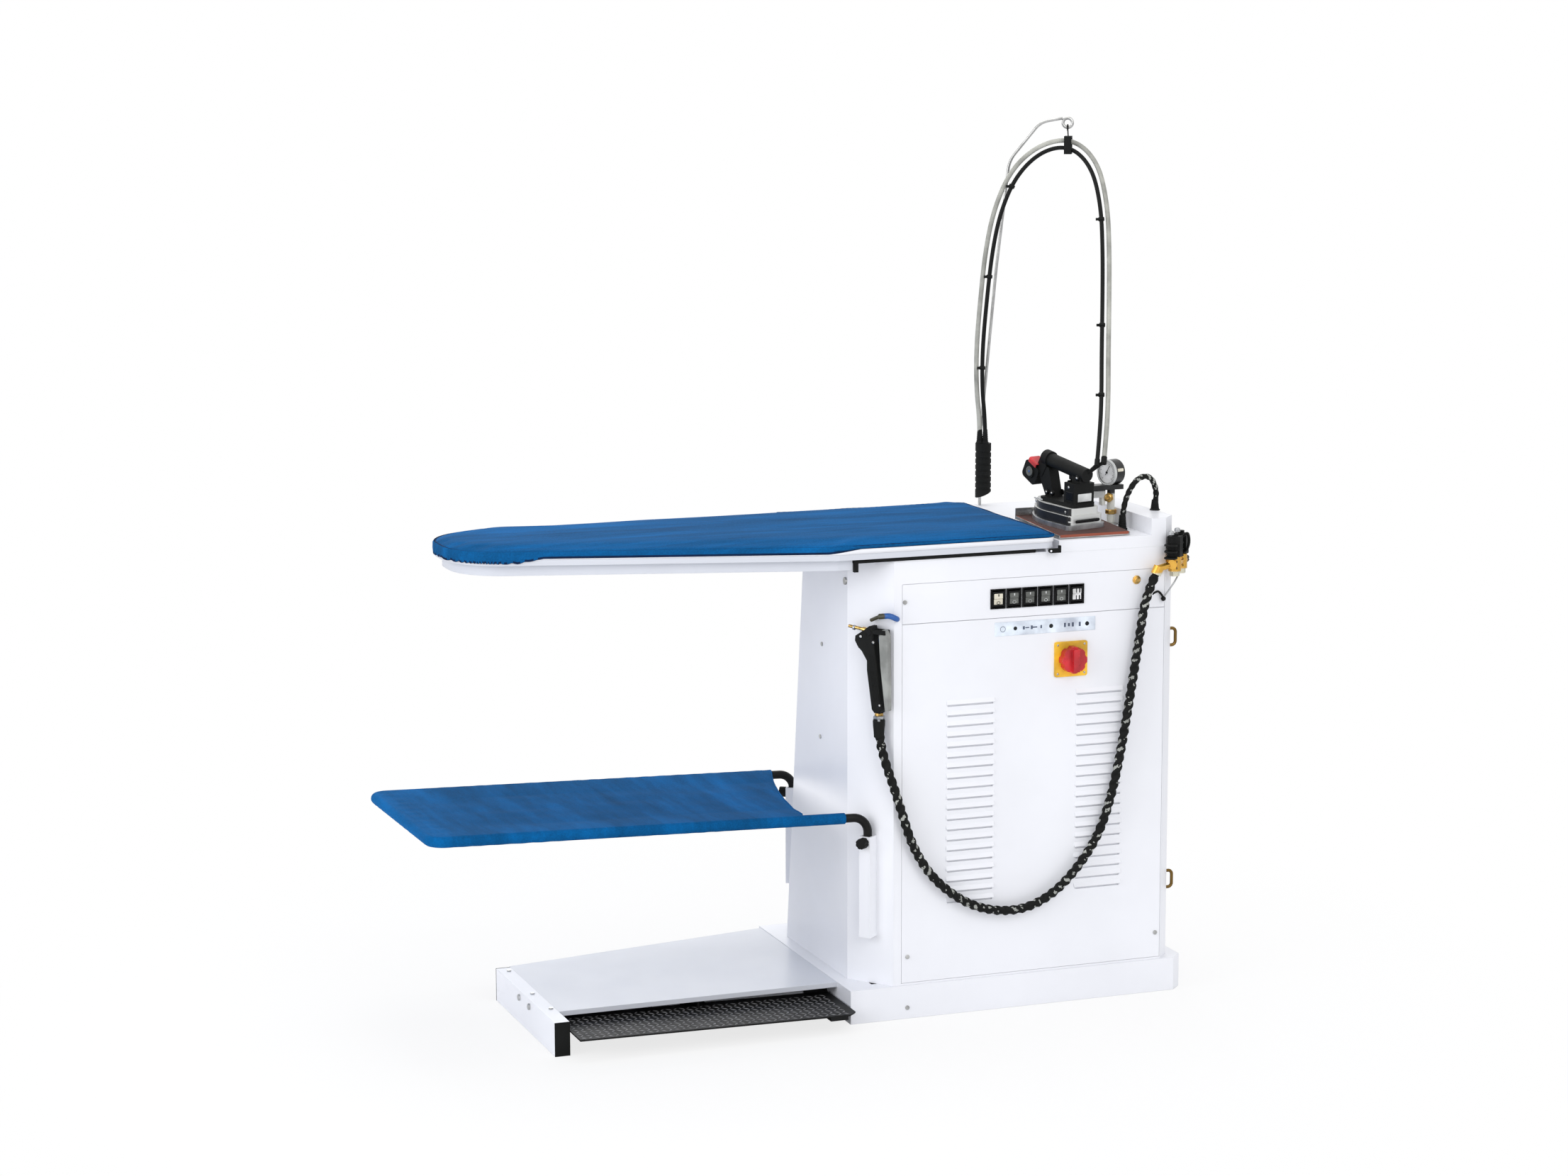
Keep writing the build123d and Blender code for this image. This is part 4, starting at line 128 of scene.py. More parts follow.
class Finish:
    """A principled material with helpers for colour variation and relief."""

    def __init__(self, name, rgb, rough, metal=0.0, coat=0.0, edge=0.0):
        self.data = bpy.data.materials.new(name)
        self.data.use_nodes = True
        self.tree = self.data.node_tree
        self.shader = self.tree.nodes["Principled BSDF"]
        self.put({
            "Base Color": colour(*rgb), "Roughness": rough, "Metallic": metal, "Coat Weight": coat,
            "Coat Roughness": 0.2})
        self.coords = self.node("ShaderNodeTexCoord", {}).outputs
        self.normal = None
        if edge:
            bevel = self.node("ShaderNodeBevel", {"Radius": edge / 1000})
            bevel.samples = 4
            self.normal = bevel.outputs["Normal"]
            self.put({"Normal": self.normal})

    def node(self, kind, values, operation=None):
        return new_node(self.tree, kind, values, operation)

    def put(self, values):
        fill(self.tree, self.shader, values)

    def mapped(self, stretch):
        node = self.node("ShaderNodeMapping", {"Scale": stretch, "Vector": self.coords["Object"]})
        return node.outputs["Vector"]

    def cloud(self, size, detail=3.0, stretch=(1, 1, 1), rough=0.5):
        """Noise whose grains are about size millimetres."""
        return self.node("ShaderNodeTexNoise", {
            "Scale": 1000 / size, "Detail": detail, "Roughness": rough, "Vector": self.mapped(stretch),
        }).outputs["Fac"]

    def bands(self, pitch, axis):
        """Sine bands pitch millimetres apart."""
        scale = 1000 / pitch / BANDS_PER_UNIT
        node = self.node("ShaderNodeTexWave", {"Scale": scale, "Vector": self.mapped((1, 1, 1))})
        node.wave_type = "BANDS"
        node.bands_direction = axis
        node.wave_profile = "SIN"
        return node.outputs["Fac"]

    def paint(self, value, stops):
        """Colour variation driven by a texture."""
        node = self.node("ShaderNodeValToRGB", {"Fac": value})
        elements = node.color_ramp.elements
        while len(elements) < len(stops):
            elements.new(0.5)
        for element, (spot, rgb) in zip(elements, stops):
            element.position = spot
            element.color = colour(*rgb)
        self.put({"Base Color": node.outputs["Color"]})

    def math(self, kind, a, b):
        return self.node("ShaderNodeMath", {0: a, 1: b}, kind).outputs["Value"]

    def relief(self, height, depth, strength=1.0):
        """Bump of a texture, depth in millimetres."""
        values = {"Distance": depth / 1000, "Strength": strength, "Height": height}
        if self.normal:
            values["Normal"] = self.normal
        self.normal = self.node("ShaderNodeBump", values).outputs["Normal"]
        self.put({"Normal": self.normal})
        return self

    def gloss(self, value, low, high):
        """Roughness between two values, driven by a texture."""
        node = self.node("ShaderNodeMapRange", {"To Min": low, "To Max": high, "Value": value})
        self.put({"Roughness": node.outputs["Result"]})


def tone(rgb, amount):
    return tuple(max(0, min(255, c * amount)) for c in rgb)


def spread(rgb, low, high):
    return [(0.35, tone(rgb, low)), (0.65, tone(rgb, high))]


def paint_finish(name, rgb):
    m = Finish(name, rgb, 0.36, coat=0.1, edge=1.0)
    m.paint(m.cloud(260, 4), spread(rgb, 0.988, 1.012))
    m.gloss(m.cloud(60, 4), 0.3, 0.44)
    return m.relief(m.cloud(1.6, 2), 0.05, 0.5)


def plastic_finish(name, rgb, rough, edge=0.8, grain=0.04):
    m = Finish(name, rgb, rough, edge=edge)
    m.put({"Specular IOR Level": 0.5 if sum(rgb) > DARK else 0.16})
    m.paint(m.cloud(40, 4), spread(rgb, 0.88, 1.14))
    m.gloss(m.cloud(25, 4), rough - 0.08, rough + 0.1)
    return m.relief(m.cloud(0.9, 2), grain, 0.8)


def metal_finish(name, rgb, rough, edge=0.6, patina=30.0, dark=0.86):
    drawn = (1, 1, 12)
    m = Finish(name, rgb, rough, metal=1.0, edge=edge)
    m.paint(m.cloud(patina, 5), spread(rgb, dark, 1.06))
    m.gloss(m.cloud(6.0, 4, drawn), max(0.04, rough - 0.08), rough + 0.12)
    return m.relief(m.cloud(1.0, 3, drawn), 0.02, 0.5)


def cloth_finish(name, rgb, streak):
    m = Finish(name, rgb, 0.95)
    m.put({"Specular IOR Level": 0.12})
    mottle = m.cloud(46, 6, streak, rough=0.62)
    broad = m.cloud(210, 3, streak)
    fine = m.cloud(3.0, 3)
    mixed = m.math("ADD", m.math("MULTIPLY", mottle, 0.4), m.math("MULTIPLY", fine, 0.22))
    mixed = m.math("ADD", mixed, m.math("MULTIPLY", broad, 0.38))
    m.paint(mixed, [(0.36, tone(rgb, 0.8)), (0.5, rgb), (0.64, tone(rgb, 1.22))])
    m.relief(m.math("MULTIPLY", m.bands(1.5, "X"), m.bands(1.5, "Y")), 0.16, 0.5)
    return m.relief(m.cloud(22, 4, streak), 0.7, 0.35)


def split_finish(name, rgb, other, axis, start, reach, rough=0.34, metal=0.0):
    """One finish with a second colour past a place along one axis, in machine millimetres."""
    m = Finish(name, rgb, rough, metal=metal, edge=0.6)
    zero = ZERO_X if axis == "X" else 0.0
    part = m.node("ShaderNodeSeparateXYZ", {"Vector": m.coords["Object"]})
    step = m.node("ShaderNodeMapRange", {
        "From Min": (start + zero) / 1000, "From Max": (start + reach + zero) / 1000,
        "Value": part.outputs[axis]})
    m.paint(step.outputs["Result"], [(0.0, rgb), (1.0, other)])
    m.gloss(m.cloud(12, 4), rough - 0.08, rough + 0.1)
    return m.relief(m.cloud(1.2, 2), 0.02, 0.6)


def facing_finish(name, rgb, other, way, rough, grain, metal=0.0):
    """Finish of faces turned one way, and a second one for the rest, with mottled edges; the first colour is
    painted shade on the faces turned that way.
    """
    m = Finish(name, rgb, rough, metal=metal, edge=0.8)
    lean = m.node("ShaderNodeVectorMath", {0: m.coords["Normal"], 1: way}, "DOT_PRODUCT")
    spots = m.math("MULTIPLY", m.math("GREATER_THAN", m.cloud(9, 3), 0.6), 0.5)
    turned = m.math("SUBTRACT", m.math("MULTIPLY", lean.outputs["Value"], 1.3), spots)
    m.paint(turned, [(0.45, other), (0.75, rgb)])
    m.gloss(m.cloud(14, 4), rough - 0.08, rough + 0.12)
    return m.relief(m.cloud(1.4, 3), grain, 0.6)


# Plastics: name, colour, roughness, softened edge and grain in millimetres
plastics = {
    "black_paint": ("black_enamel", (20, 20, 20), 0.4),
    "tread": ("tread_plate", (17, 17, 17), 0.5, 0.8, 0.08),
    # Lozenge tops painted lighter grey: a painted highlight of their shine.
    "tread_lozenge_highlight": ("tread_lozenge", (104, 104, 105), 0.4, 0, 0.03),
    "black": ("black_plastic", (15, 16, 15), 0.56),
    "gloss_black": ("gloss_black", (14, 14, 15), 0.25, 0.6, 0.01),
    "rubber": ("black_rubber", (18, 19, 18), 0.62, 0.8, 0.08),
    "cable": ("black_cable", (16, 17, 16), 0.42, 0, 0.03),
    "grey_hose": ("grey_hose", (158, 158, 150), 0.4, 0, 0.03),
    "grey_key": ("grey_key", (92, 94, 90), 0.3, 0.6, 0.01),
    "ivory_key": ("ivory_key", (214, 208, 190), 0.32, 0.6, 0.01),
    "white_key": ("white_key", (226, 226, 224), 0.3, 0.6, 0.01),
    "yellow": ("yellow_plastic", (228, 178, 40), 0.34, 0.8, 0.01),
    "red": ("red_plastic", (190, 38, 44), 0.28, 1.0, 0.01),
    "lever": ("lever_steel", (140, 142, 138), 0.42, 0.6, 0.02),
    "dial": ("dial_face", (250, 250, 247), 0.5, 0.2, 0.0),
    "legend": ("legend_foil", (208, 216, 230), 0.4, 0.2, 0.01),
    "legend_ink": ("legend_ink", (74, 84, 104), 0.5, 0.1, 0.01),
    "ink": ("black_ink", (30, 32, 34), 0.5, 0.1, 0.01),
    "pale_cap": ("pale_cap", (202, 204, 202), 0.3, 0.8, 0.01),
    "tank": ("tank_plastic", (222, 224, 222), 0.45, 1.0, 0.02),
    "grey_box": ("grey_housing", (140, 143, 144), 0.5, 1.0, 0.03),
    # Hem: navy as painted shade along the cover's lower edge and in its gathers.
    "hem": ("navy_hem", (10, 34, 66), 0.9, 0, 0.2),
    "piping": ("navy_piping", (8, 48, 88), 0.9, 0, 0.2),
    "fleck": ("hose_fleck", (150, 152, 146), 0.6, 0, 0.1),
    "yarn": ("hose_yarn", (13, 14, 13), 0.6, 0, 0.2),
    "foam": ("foam", (222, 214, 196), 0.9, 0, 0.4),
}
finishes = {
    "white": paint_finish("white_enamel", (238, 239, 243)),
    # The leg cover and suction box wear the white enamel darkened as painted shade, for the shade they sit in
    # under the board.
    "shade": paint_finish("white_enamel_painted_shade", (207, 210, 217)),
    "blue_sleeve": split_finish("blue_sleeve", (64, 62, 44), (36, 88, 158), "X", 63.0, 1.5),
    "gauge_body": split_finish("gauge_body", (224, 224, 216), (24, 25, 25), "Z", 934.0, 3.0, 0.3),
    "nickel_brass": split_finish(
        "nickel_brass", (216, 212, 190), (222, 172, 76), "Z", 808.0, 3.0, 0.28, 0.85),
    # Iron mat: brown-red sides, with its upward faces painted dark as painted shade under the iron.
    "mat": facing_finish("brown_mat_painted_shade", (70, 42, 36), (150, 78, 58), UP, 0.8, 0.12),
    # Iron shroud: pale chrome, with the faces turned to the left painted near black as painted shade on the
    # chrome's dark side.
    "shroud": facing_finish(
        "shroud_chrome_painted_shade", (26, 26, 27), (214, 215, 212), (-0.97, -0.24, 0), 0.34, 0.02, 0.25),
    "zinc": metal_finish("zinc_steel", (176, 178, 180), 0.38),
    "steel": metal_finish("bright_steel", (190, 190, 188), 0.28),
    "chrome": metal_finish("chrome_plate", (208, 209, 212), 0.12, 0.8),
    "alloy": metal_finish("cast_alloy", (188, 190, 192), 0.36, 0.8),
    "brass": metal_finish("brass", (232, 190, 112), 0.3, patina=8.0, dark=0.55),
    "dark_brass": metal_finish("dark_brass", (124, 98, 54), 0.42),
    "cloth": cloth_finish("blue_cloth", (10, 84, 138), (0.25, 1.6, 1)),
    "tray_cloth": cloth_finish("tray_cloth", (4, 82, 136), (1.6, 0.25, 1)),
}
for key, looks in plastics.items():
    finishes[key] = plastic_finish(*looks)


def wear(obj, key):
    obj.data.materials.clear()
    obj.data.materials.append(finishes[key].data)


cad_finish = {
    "white": "base_pan leg_frame cabinet_shell front_panel control_strip back_panel side_panel deck"
             " tray_guides",
    # leg cover and suction box: the white enamel darkened as painted shade
    "shade": "leg_cover suction_box",
    "black": "leg_end_caps pedal_switch board_latch tray_knob_front tray_knob_rear gun_body valve_coils"
             " valve_knob iron_handle",
    "gauge_body": "pressure_gauge",
    "gloss_black": "switch_frame rocker_1 rocker_2 rocker_3 rocker_4 rocker_5 rocker_6",
    "black_paint": "tray_frame",
    "tread": "foot_pedal",
    "rubber": "board_gasket hose_grips",
    "cable": "iron_cable",
    "grey_hose": "iron_hose",
    "yarn": "gun_hose loop_cable",
    "yellow": "main_switch_plate",
    "red": "main_switch_knob iron_button",
    "blue_sleeve": "gun_hook",
    "tank": "feed_tank",
    "grey_box": "control_box suction_motor",
    "mat": "iron_mat",
    "foam": "board_pad",
    "zinc": "perforated_plate suction_duct",
    "steel": "boiler hanger_rod iron_rest screws",
    "lever": "gun_trigger",
    "shroud": "iron_body",
    "alloy": "suction_impeller iron_soleplate",
    "brass": "gun_nozzle",
    "nickel_brass": "valve_bodies",
    "dark_brass": "cord_hooks",
    "cloth": "board_cover",
    "tray_cloth": "tray_cloth",
}
for key, names in cad_finish.items():
    for name in names.split():
        wear(nodes[name], key)


# Mesh helpers
def new_object(name, mesh, key, body="machine", smooth=True):
    obj = placed(name, mesh)
    wear(obj, key)
    if smooth:
        for face in mesh.polygons:
            face.use_smooth = True
    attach(obj, body)
    return obj


def mesh_of(name, points, faces):
    mesh = bpy.data.meshes.new(name)
    mesh.from_pydata([tuple(p) for p in points], [], faces)
    mesh.validate()
    return mesh


def evaluated_mesh(obj):
    graph = bpy.context.evaluated_depsgraph_get()
    return bpy.data.meshes.new_from_object(obj.evaluated_get(graph))


def settle(obj):
    """Applies an object's modifiers to its mesh."""
    mesh = evaluated_mesh(obj)
    obj.modifiers.clear()
    obj.data = mesh


def skin_faces(count, sides, closed_ends=True):
    """Faces between neighbouring rings, of a number of rings with equally many points."""
    faces = []
    for r in range(count - 1):
        for i in range(sides):
            a, b = r * sides + i, r * sides + (i + 1) % sides
            faces.append((a, b, b + sides, a + sides))
    if closed_ends:
        faces.append(tuple(reversed(range(sides))))
        faces.append(tuple(range((count - 1) * sides, count * sides)))
    return faces


def rings_mesh(name, rings, closed_ends=True):
    """Skin over rings of equally many points."""
    points = [p for ring in rings for p in ring]
    return mesh_of(name, points, skin_faces(len(rings), len(rings[0]), closed_ends))


def circle(side, other, sides):
    """Directions all round the plane of two others."""
    angles = [2 * pi * i / sides for i in range(sides)]
    return [side * cos(angle) + other * sin(angle) for angle in angles]


def tube_rings(path, radius, sides=24, ripple=None):
    """Rings round a path, carried along without twist."""
    rings = []
    side = None
    for k, spot in enumerate(path):
        ahead = (path[min(k + 1, len(path) - 1)] - path[max(k - 1, 0)]).normalized()
        if side is None:
            side = ahead.orthogonal().normalized()
        side = (side - ahead * side.dot(ahead)).normalized()
        outs = circle(side, ahead.cross(side), sides)
        rings.append([spot + out * (radius + (ripple(spot) if ripple else 0)) for out in outs])
    return rings


# Cords: the routes of the part's source
GUN_HOSE = (
    (58.7, 9.5, 574), (58.7, 9.5, 534), (66, -1, 490), (80, -9, 444), (95, -13, 394), (114, -15, 332),
    (150, -15, 272), (206, -15, 222), (268, -15, 194), (336, -15, 189), (396, -15, 212), (447, -15, 258),
    (490, -15, 318), (515, -15, 388), (532, -15, 464), (546, -15, 544), (559, -15, 624), (571, -15, 700),
    (580, -16, 764), (600, -17, 806))
IRON_HOSE = (
    (453, 467, 1000), (453, 467, 1042), (445, 467, 1110), (443, 463, 1190), (447, 455, 1280),
    (453, 445, 1380), (467, 434, 1464), (497, 420, 1538), (546, 396, 1584), (602, 369, 1594),
    (642, 342, 1550), (646, 306, 1470), (632, 266, 1384), (608, 214, 1284), (582, 160, 1196),
    (560, 112, 1126), (538, 70, 1072), (519, 40, 1022))
IRON_CABLE = (
    (462, 461, 1000), (462, 461, 1042), (455, 462, 1110), (454, 458, 1190), (458, 449, 1280),
    (465, 439, 1380), (478, 428, 1458), (505, 414, 1526), (548, 393, 1571), (596, 369, 1580),
    (630, 344, 1540), (634, 310, 1468), (620, 270, 1384), (596, 218, 1284), (570, 164, 1196),
    (548, 116, 1126), (526, 74, 1070), (507, 44, 1018))
LOOP_CABLE = (
    (578, 82, 877), (578, 82, 908), (588, 84, 944), (612, 88, 974), (642, 94, 974), (657, 99, 944),
    (654, 100, 918), (654, 100, 908))


def route_curve(name, points, diameter):
    curve = bpy.data.curves.new(name, "CURVE")
    curve.dimensions = "3D"
    spline = curve.splines.new("NURBS")
    spline.points.add(len(points) - 1)
    for spot, point in zip(spline.points, points):
        spot.co = (*at(*point), 1)
    spline.order_u = 3
    spline.use_endpoint_u = True
    spline.resolution_u = 10
    curve.bevel_depth = diameter / 2000
    curve.bevel_resolution = 6
    curve.use_fill_caps = True
    return curve


def add_cord(name, points, diameter, key, node):
    obj = placed(name, route_curve(name, points, diameter))
    obj.data.materials.append(finishes[key].data)
    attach(obj, "machine")
    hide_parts(node)


def centreline(points):
    """Points along the route's own spline."""
    curve = route_curve("line", points, 0)
    curve.use_fill_caps = False
    obj = placed("line", curve)
    mesh = evaluated_mesh(obj)
    line = [v.co.copy() for v in mesh.vertices]
    bpy.data.objects.remove(obj)
    bpy.data.meshes.remove(mesh)
    bpy.data.curves.remove(curve)
    return line


def ties_along(points, heights, radius, reach):
    """Small black ties round both leads, at given heights of the rising or the falling half."""
    line = centreline(points)
    top = max(range(len(line)), key=lambda k: line[k].z)
    ties = []
    for number, (rising, height) in enumerate(heights):
        part = range(1, top) if rising else range(top, len(line) - 1)
        k = min(part, key=lambda n: abs(line[n].z - height / 1000))
        ahead = (line[k + 1] - line[k - 1]).normalized()
        rings, grow = (
            tube_rings([line[k] - ahead * reach / share, line[k] + ahead * reach / share], wide / 1000, 16)
            for share, wide in ((2000, radius), (2600, radius + 1)))
        mesh = rings_mesh(f"tie_{number}", [rings[0], *grow, rings[1]])
        tie = new_object(f"cable_tie_{number}", mesh, "black")
        spot = Matrix.Translation(line[k] + Vector((-(radius + 3) / 1000, 0, 0)))
        tab = bmesh.new()
        tab.from_mesh(tie.data)
        bmesh.ops.create_cube(tab, size=1.0, matrix=spot @ Matrix.Diagonal((0.006, 0.004, 0.005, 1)))
        tab.to_mesh(tie.data)
        tab.free()
        ties.append(tie)
    return ties


def twisted_hose(name, points, node, wide, thin, pitch):
    """Sleeve of two yarn bundles twisted round each other, with lighter flecks in the grooves."""
    sides = 28
    longest_step = 0.0016
    line = centreline(points)
    route = [line[0]]
    for a, b in zip(line, line[1:]):
        steps = max(1, int((b - a).length / longest_step))
        route += [a.lerp(b, (k + 1) / steps) for k in range(steps)]
    spans = [0.0]
    for a, b in zip(route, route[1:]):
        spans.append(spans[-1] + (b - a).length * 1000)
    rings = []
    for ring, spot, span in zip(tube_rings(route, 1.0, sides), route, spans):
        phase = 2 * pi * span / pitch
        skin = []
        for i, corner in enumerate(ring):
            angle = 2 * pi * i / sides
            bulge = (wide + thin) / 2 + (wide - thin) / 2 * cos(2 * (angle - phase))
            yarn = 0.22 * sin(2 * pi * span / 3.2 + 6 * angle)
            skin.append(spot + (corner - spot).normalized() * ((bulge + yarn) / 1000))
        rings.append(skin)
    mesh = rings_mesh(name, rings)
    obj = new_object(name, mesh, "yarn")
    mesh.materials.append(finishes["fleck"].data)
    for face in mesh.polygons:
        row, i = divmod(face.index, sides)
        if row >= len(spans) - 1:
            continue
        turn = cos(2 * (2 * pi * (i + 0.5) / sides - 2 * pi * spans[row] / pitch))
        patch = noise.noise(face.center * 95) + 0.5 * noise.noise(face.center * 260)
        if turn < -0.3 and patch > 0.16:
            face.material_index = 1
    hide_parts(node)


# Board cover: a fitted padded cover with a gathered hem round the nose
BOARD_CORNERS = ((404, -11, 24), (404, 430, 24), (-690, 430, 125), (-690, 178, 120), (-25, -11, 60))
COVER_TOP = 898.5
COVER_HEM = 878.5
HEM_RISE = 7.5
NOSE_START = -535
GATHER_START = -545
VOXEL = 0.006


def rounded_outline(corners, step=9.0):
    """Closed outline with rounded corners, as evenly spaced points with their outward directions."""
    pieces = []
    count = len(corners)
    for i, (x, y, radius) in enumerate(corners):
        before = Vector(corners[i - 1][:2])
        here = Vector((x, y))
        after = Vector(corners[(i + 1) % count][:2])
        a, b = (before - here).normalized(), (after - here).normalized()
        half = a.angle(b) / 2
        reach = radius / tan(half)
        middle = here + (a + b).normalized() * (radius / sin(half))
        start, end = here + a * reach - middle, here + b * reach - middle
        turn = start.angle_signed(end)
        steps = max(2, int(abs(turn) * radius / step))
        for k in range(steps + 1):
            angle = -turn * k / steps
            out = Vector((
                start.x * cos(angle) - start.y * sin(angle),
                start.x * sin(angle) + start.y * cos(angle)))
            pieces.append((middle + out, out.normalized()))
    line = []
    for (p, n), (q, m) in zip(pieces, pieces[1:] + pieces[:1]):
        steps = max(1, int((q - p).length / step))
        for k in range(steps):
            share = k / steps
            line.append((p.lerp(q, share), n.lerp(m, share).normalized()))
    return line


def inside(spot, inset, z):
    """Point at height z, a distance in from a spot of the outline."""
    p, n = spot
    return at(p.x - n.x * inset, p.y - n.y * inset, z)


def nose_share(x, reach):
    """None over the straight sides, all round the nose."""
    return clamp((NOSE_START - x) / reach)


def cabinet_side(x):
    """How far the hem has climbed: none over the leg side, all over the cabinet."""
    return clamp((x + 44) / 60)


def inflate(obj, pressure, limit, pinned):
    """Inflates a closed piece a little, holding the pinned points, and caps how far a point may move."""
    start = [v.co.copy() for v in obj.data.vertices]
    group = obj.vertex_groups.new(name="pin")
    group.add([i for i, p in enumerate(start) if pinned(p)], 1.0, "REPLACE")
    cloth = obj.modifiers.new("cloth", "CLOTH")
    cloth.settings.quality = 5
    cloth.settings.mass = 0.3
    cloth.settings.use_pressure = True
    cloth.settings.uniform_pressure_force = pressure
    cloth.settings.vertex_group_mass = "pin"
    cloth.settings.effector_weights.gravity = 0
    cloth.collision_settings.use_collision = False
    scene = bpy.context.scene
    for number in range(1, 21):
        scene.frame_set(number)
    graph = bpy.context.evaluated_depsgraph_get()
    shape = obj.evaluated_get(graph).to_mesh()
    moved = [v.co.copy() for v in shape.vertices]
    obj.modifiers.clear()
    obj.vertex_groups.clear()
    scene.frame_set(1)
    for vertex, old, new in zip(obj.data.vertices, start, moved):
        shift = new - old
        if shift.length > limit:
            shift = shift.normalized() * limit
        vertex.co = old + shift


def add_hem_band():
    """Elastic band along the cover's lower edge, gathered and hanging lower round the nose."""
    outline = rounded_outline(BOARD_CORNERS, 2.6)
    rings = [[] for _ in range(7)]
    for p, n in outline:
        nose = nose_share(p.x, 45)
        run = p.x * abs(n.y) + p.y * abs(n.x)
        scallop = abs(sin(run / 6.2)) * 2.6 * nose
        wrinkle = sin(run / 2.1 + 3 * noise.noise(Vector((p.x / 40, p.y / 40, 0)))) * (0.15 + 0.7 * nose)
        hem = COVER_HEM - 6.5 * nose - scallop + HEM_RISE * cabinet_side(p.x)
        levels = (
            (2.5, 891.5), (0.3, 888.6), (-0.5 - wrinkle * 0.5, (888.0 + hem) / 2),
            (-0.4 - wrinkle, hem + 4.2), (-0.1 - wrinkle, hem + 0.8), (0.6, hem), (3.0, hem + 0.8))
        for ring, (inset, z) in zip(rings, levels):
            ring.append(inside((p, n), inset, z))
    mesh = rings_mesh("cover_hem", rings, closed_ends=False)
    new_object("cover_hem", mesh, "cloth")
    # Navy on the hem's lower rows is painted shade under the turned edge and, round the nose, in the creases
    # of the gathers.
    mesh.materials.append(finishes["hem"].data)
    for face in mesh.polygons:
        row, spot = divmod(face.index, len(outline))
        p, n = outline[spot]
        gathered = p.x < GATHER_START and sin((p.x * abs(n.y) + p.y * abs(n.x)) / 3.1) > -0.3
        if row >= 4 or row == 3 and (p.x > GATHER_START or gathered):
            face.material_index = 1
    rim = []
    for inset, foot, head in ((3.4, 1, 0), (1.0, 1, 0), (1.0, 0, 1), (1.6, 0, 1), (3.4, 0, 1)):
        ring = []
        for p, n in outline:
            top = COVER_HEM + HEM_RISE * cabinet_side(p.x) + (1.6 if inset < 1.5 else 2.2)
            ring.append(inside((p, n), inset, DECK_TOP * foot + top * head))
        rim.append(ring)
    new_object("board_rim", rings_mesh("board_rim", rim, closed_ends=False), "white")


def add_piping(cover):
    """Dark seam that follows the cover's upper edge."""
    skin = BVHTree.FromObject(cover, bpy.context.evaluated_depsgraph_get())
    seam = []
    for p, n in rounded_outline(BOARD_CORNERS, 4.0):
        back = Vector((-n.x, -n.y, -0.75)).normalized()
        hit = skin.ray_cast(inside((p, n), -20, 909.0), back)[0]
        if hit:
            seam.append(hit)
    seam += seam[:2]
    new_object("cover_piping", rings_mesh("cover_piping", tube_rings(seam, 0.0016, 8)), "piping")


def add_board_cover():
    outline = rounded_outline(BOARD_CORNERS)
    profile = (
        (1.5, COVER_HEM), (0.4, COVER_HEM + 2), (0.0, 884), (0.6, 889), (3.2, 893.2), (8.0, 895.6),
        (16.0, 896.6), (60.0, COVER_TOP - 0.6))
    rings = [[inside(spot, inset, z) for spot in outline] for inset, z in profile]
    obj = new_object("board_cover_soft", rings_mesh("board_cover_soft", rings), "cloth")
    remesh = obj.modifiers.new("remesh", "REMESH")
    remesh.mode = "VOXEL"
    remesh.voxel_size = VOXEL
    settle(obj)
    low = (COVER_HEM + 3) / 1000
    inflate(obj, 4.0, 0.003, lambda p: p.z < low)
    smooth = obj.modifiers.new("smooth", "SMOOTH")
    smooth.factor = 0.5
    smooth.iterations = 3
    fine = obj.modifiers.new("fine", "SUBSURF")
    fine.levels = 1
    settle(obj)
    line = [(at(p.x, p.y, 0), n) for p, n in outline]
    for vertex in obj.data.vertices:
        p = vertex.co
        height = p.z * 1000
        if height > 894:
            swell = noise.noise(Vector((p.x * 7, p.y * 16, 0.3))) * 0.9
            vertex.co.z += swell / 1000
            continue
        near = min(line, key=lambda spot: (spot[0].x - p.x) ** 2 + (spot[0].y - p.y) ** 2)
        if hypot(near[0].x - p.x, near[0].y - p.y) * 1000 > 16:
            continue
        out = Vector((near[1].x, near[1].y, 0))
        nose = nose_share(p.x * 1000 - ZERO_X, 60)
        low = clamp((891 - height) / 9)
        run = p.x * 1000 * abs(near[1].y) + p.y * 1000 * abs(near[1].x)
        fold = sin(run / 1.9 + 2 * noise.noise(p * 30)) * (0.25 + 1.3 * nose)
        lift = noise.noise(Vector((p.x * 22, p.y * 22, 1.7))) * 1.4
        vertex.co += out * (low * (fold * 0.8 + lift * 0.6) / 1000)
        if height < 886:
            climb = HEM_RISE * cabinet_side(p.x * 1000 - ZERO_X)
            vertex.co.z += ((fold * 0.9 + lift * 0.5) * low + climb) / 1000
    for face in obj.data.polygons:
        face.use_smooth = True
    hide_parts("board_cover", "board_pad")
    add_hem_band()
    add_piping(obj)


# Linen tray: a sling sewn round three rails
FRONT_RAIL_Y = 34.31
REAR_RAIL_Y = 463.34
RAIL_LEFT = -775.0
CORNER = 24.0
SLEEVE_R = 10.0
FRONT_END = 0.5
REAR_END = 13.8
TRAY_SAG = 5.0
PATH_STEP = 8

def tray_z(x, y):
    rise = 23.0 * (46.53 - x) / (46.53 - RAIL_LEFT)
    return 380.0 + rise - 9.0 * (y - FRONT_RAIL_Y) / (REAR_RAIL_Y - FRONT_RAIL_Y)


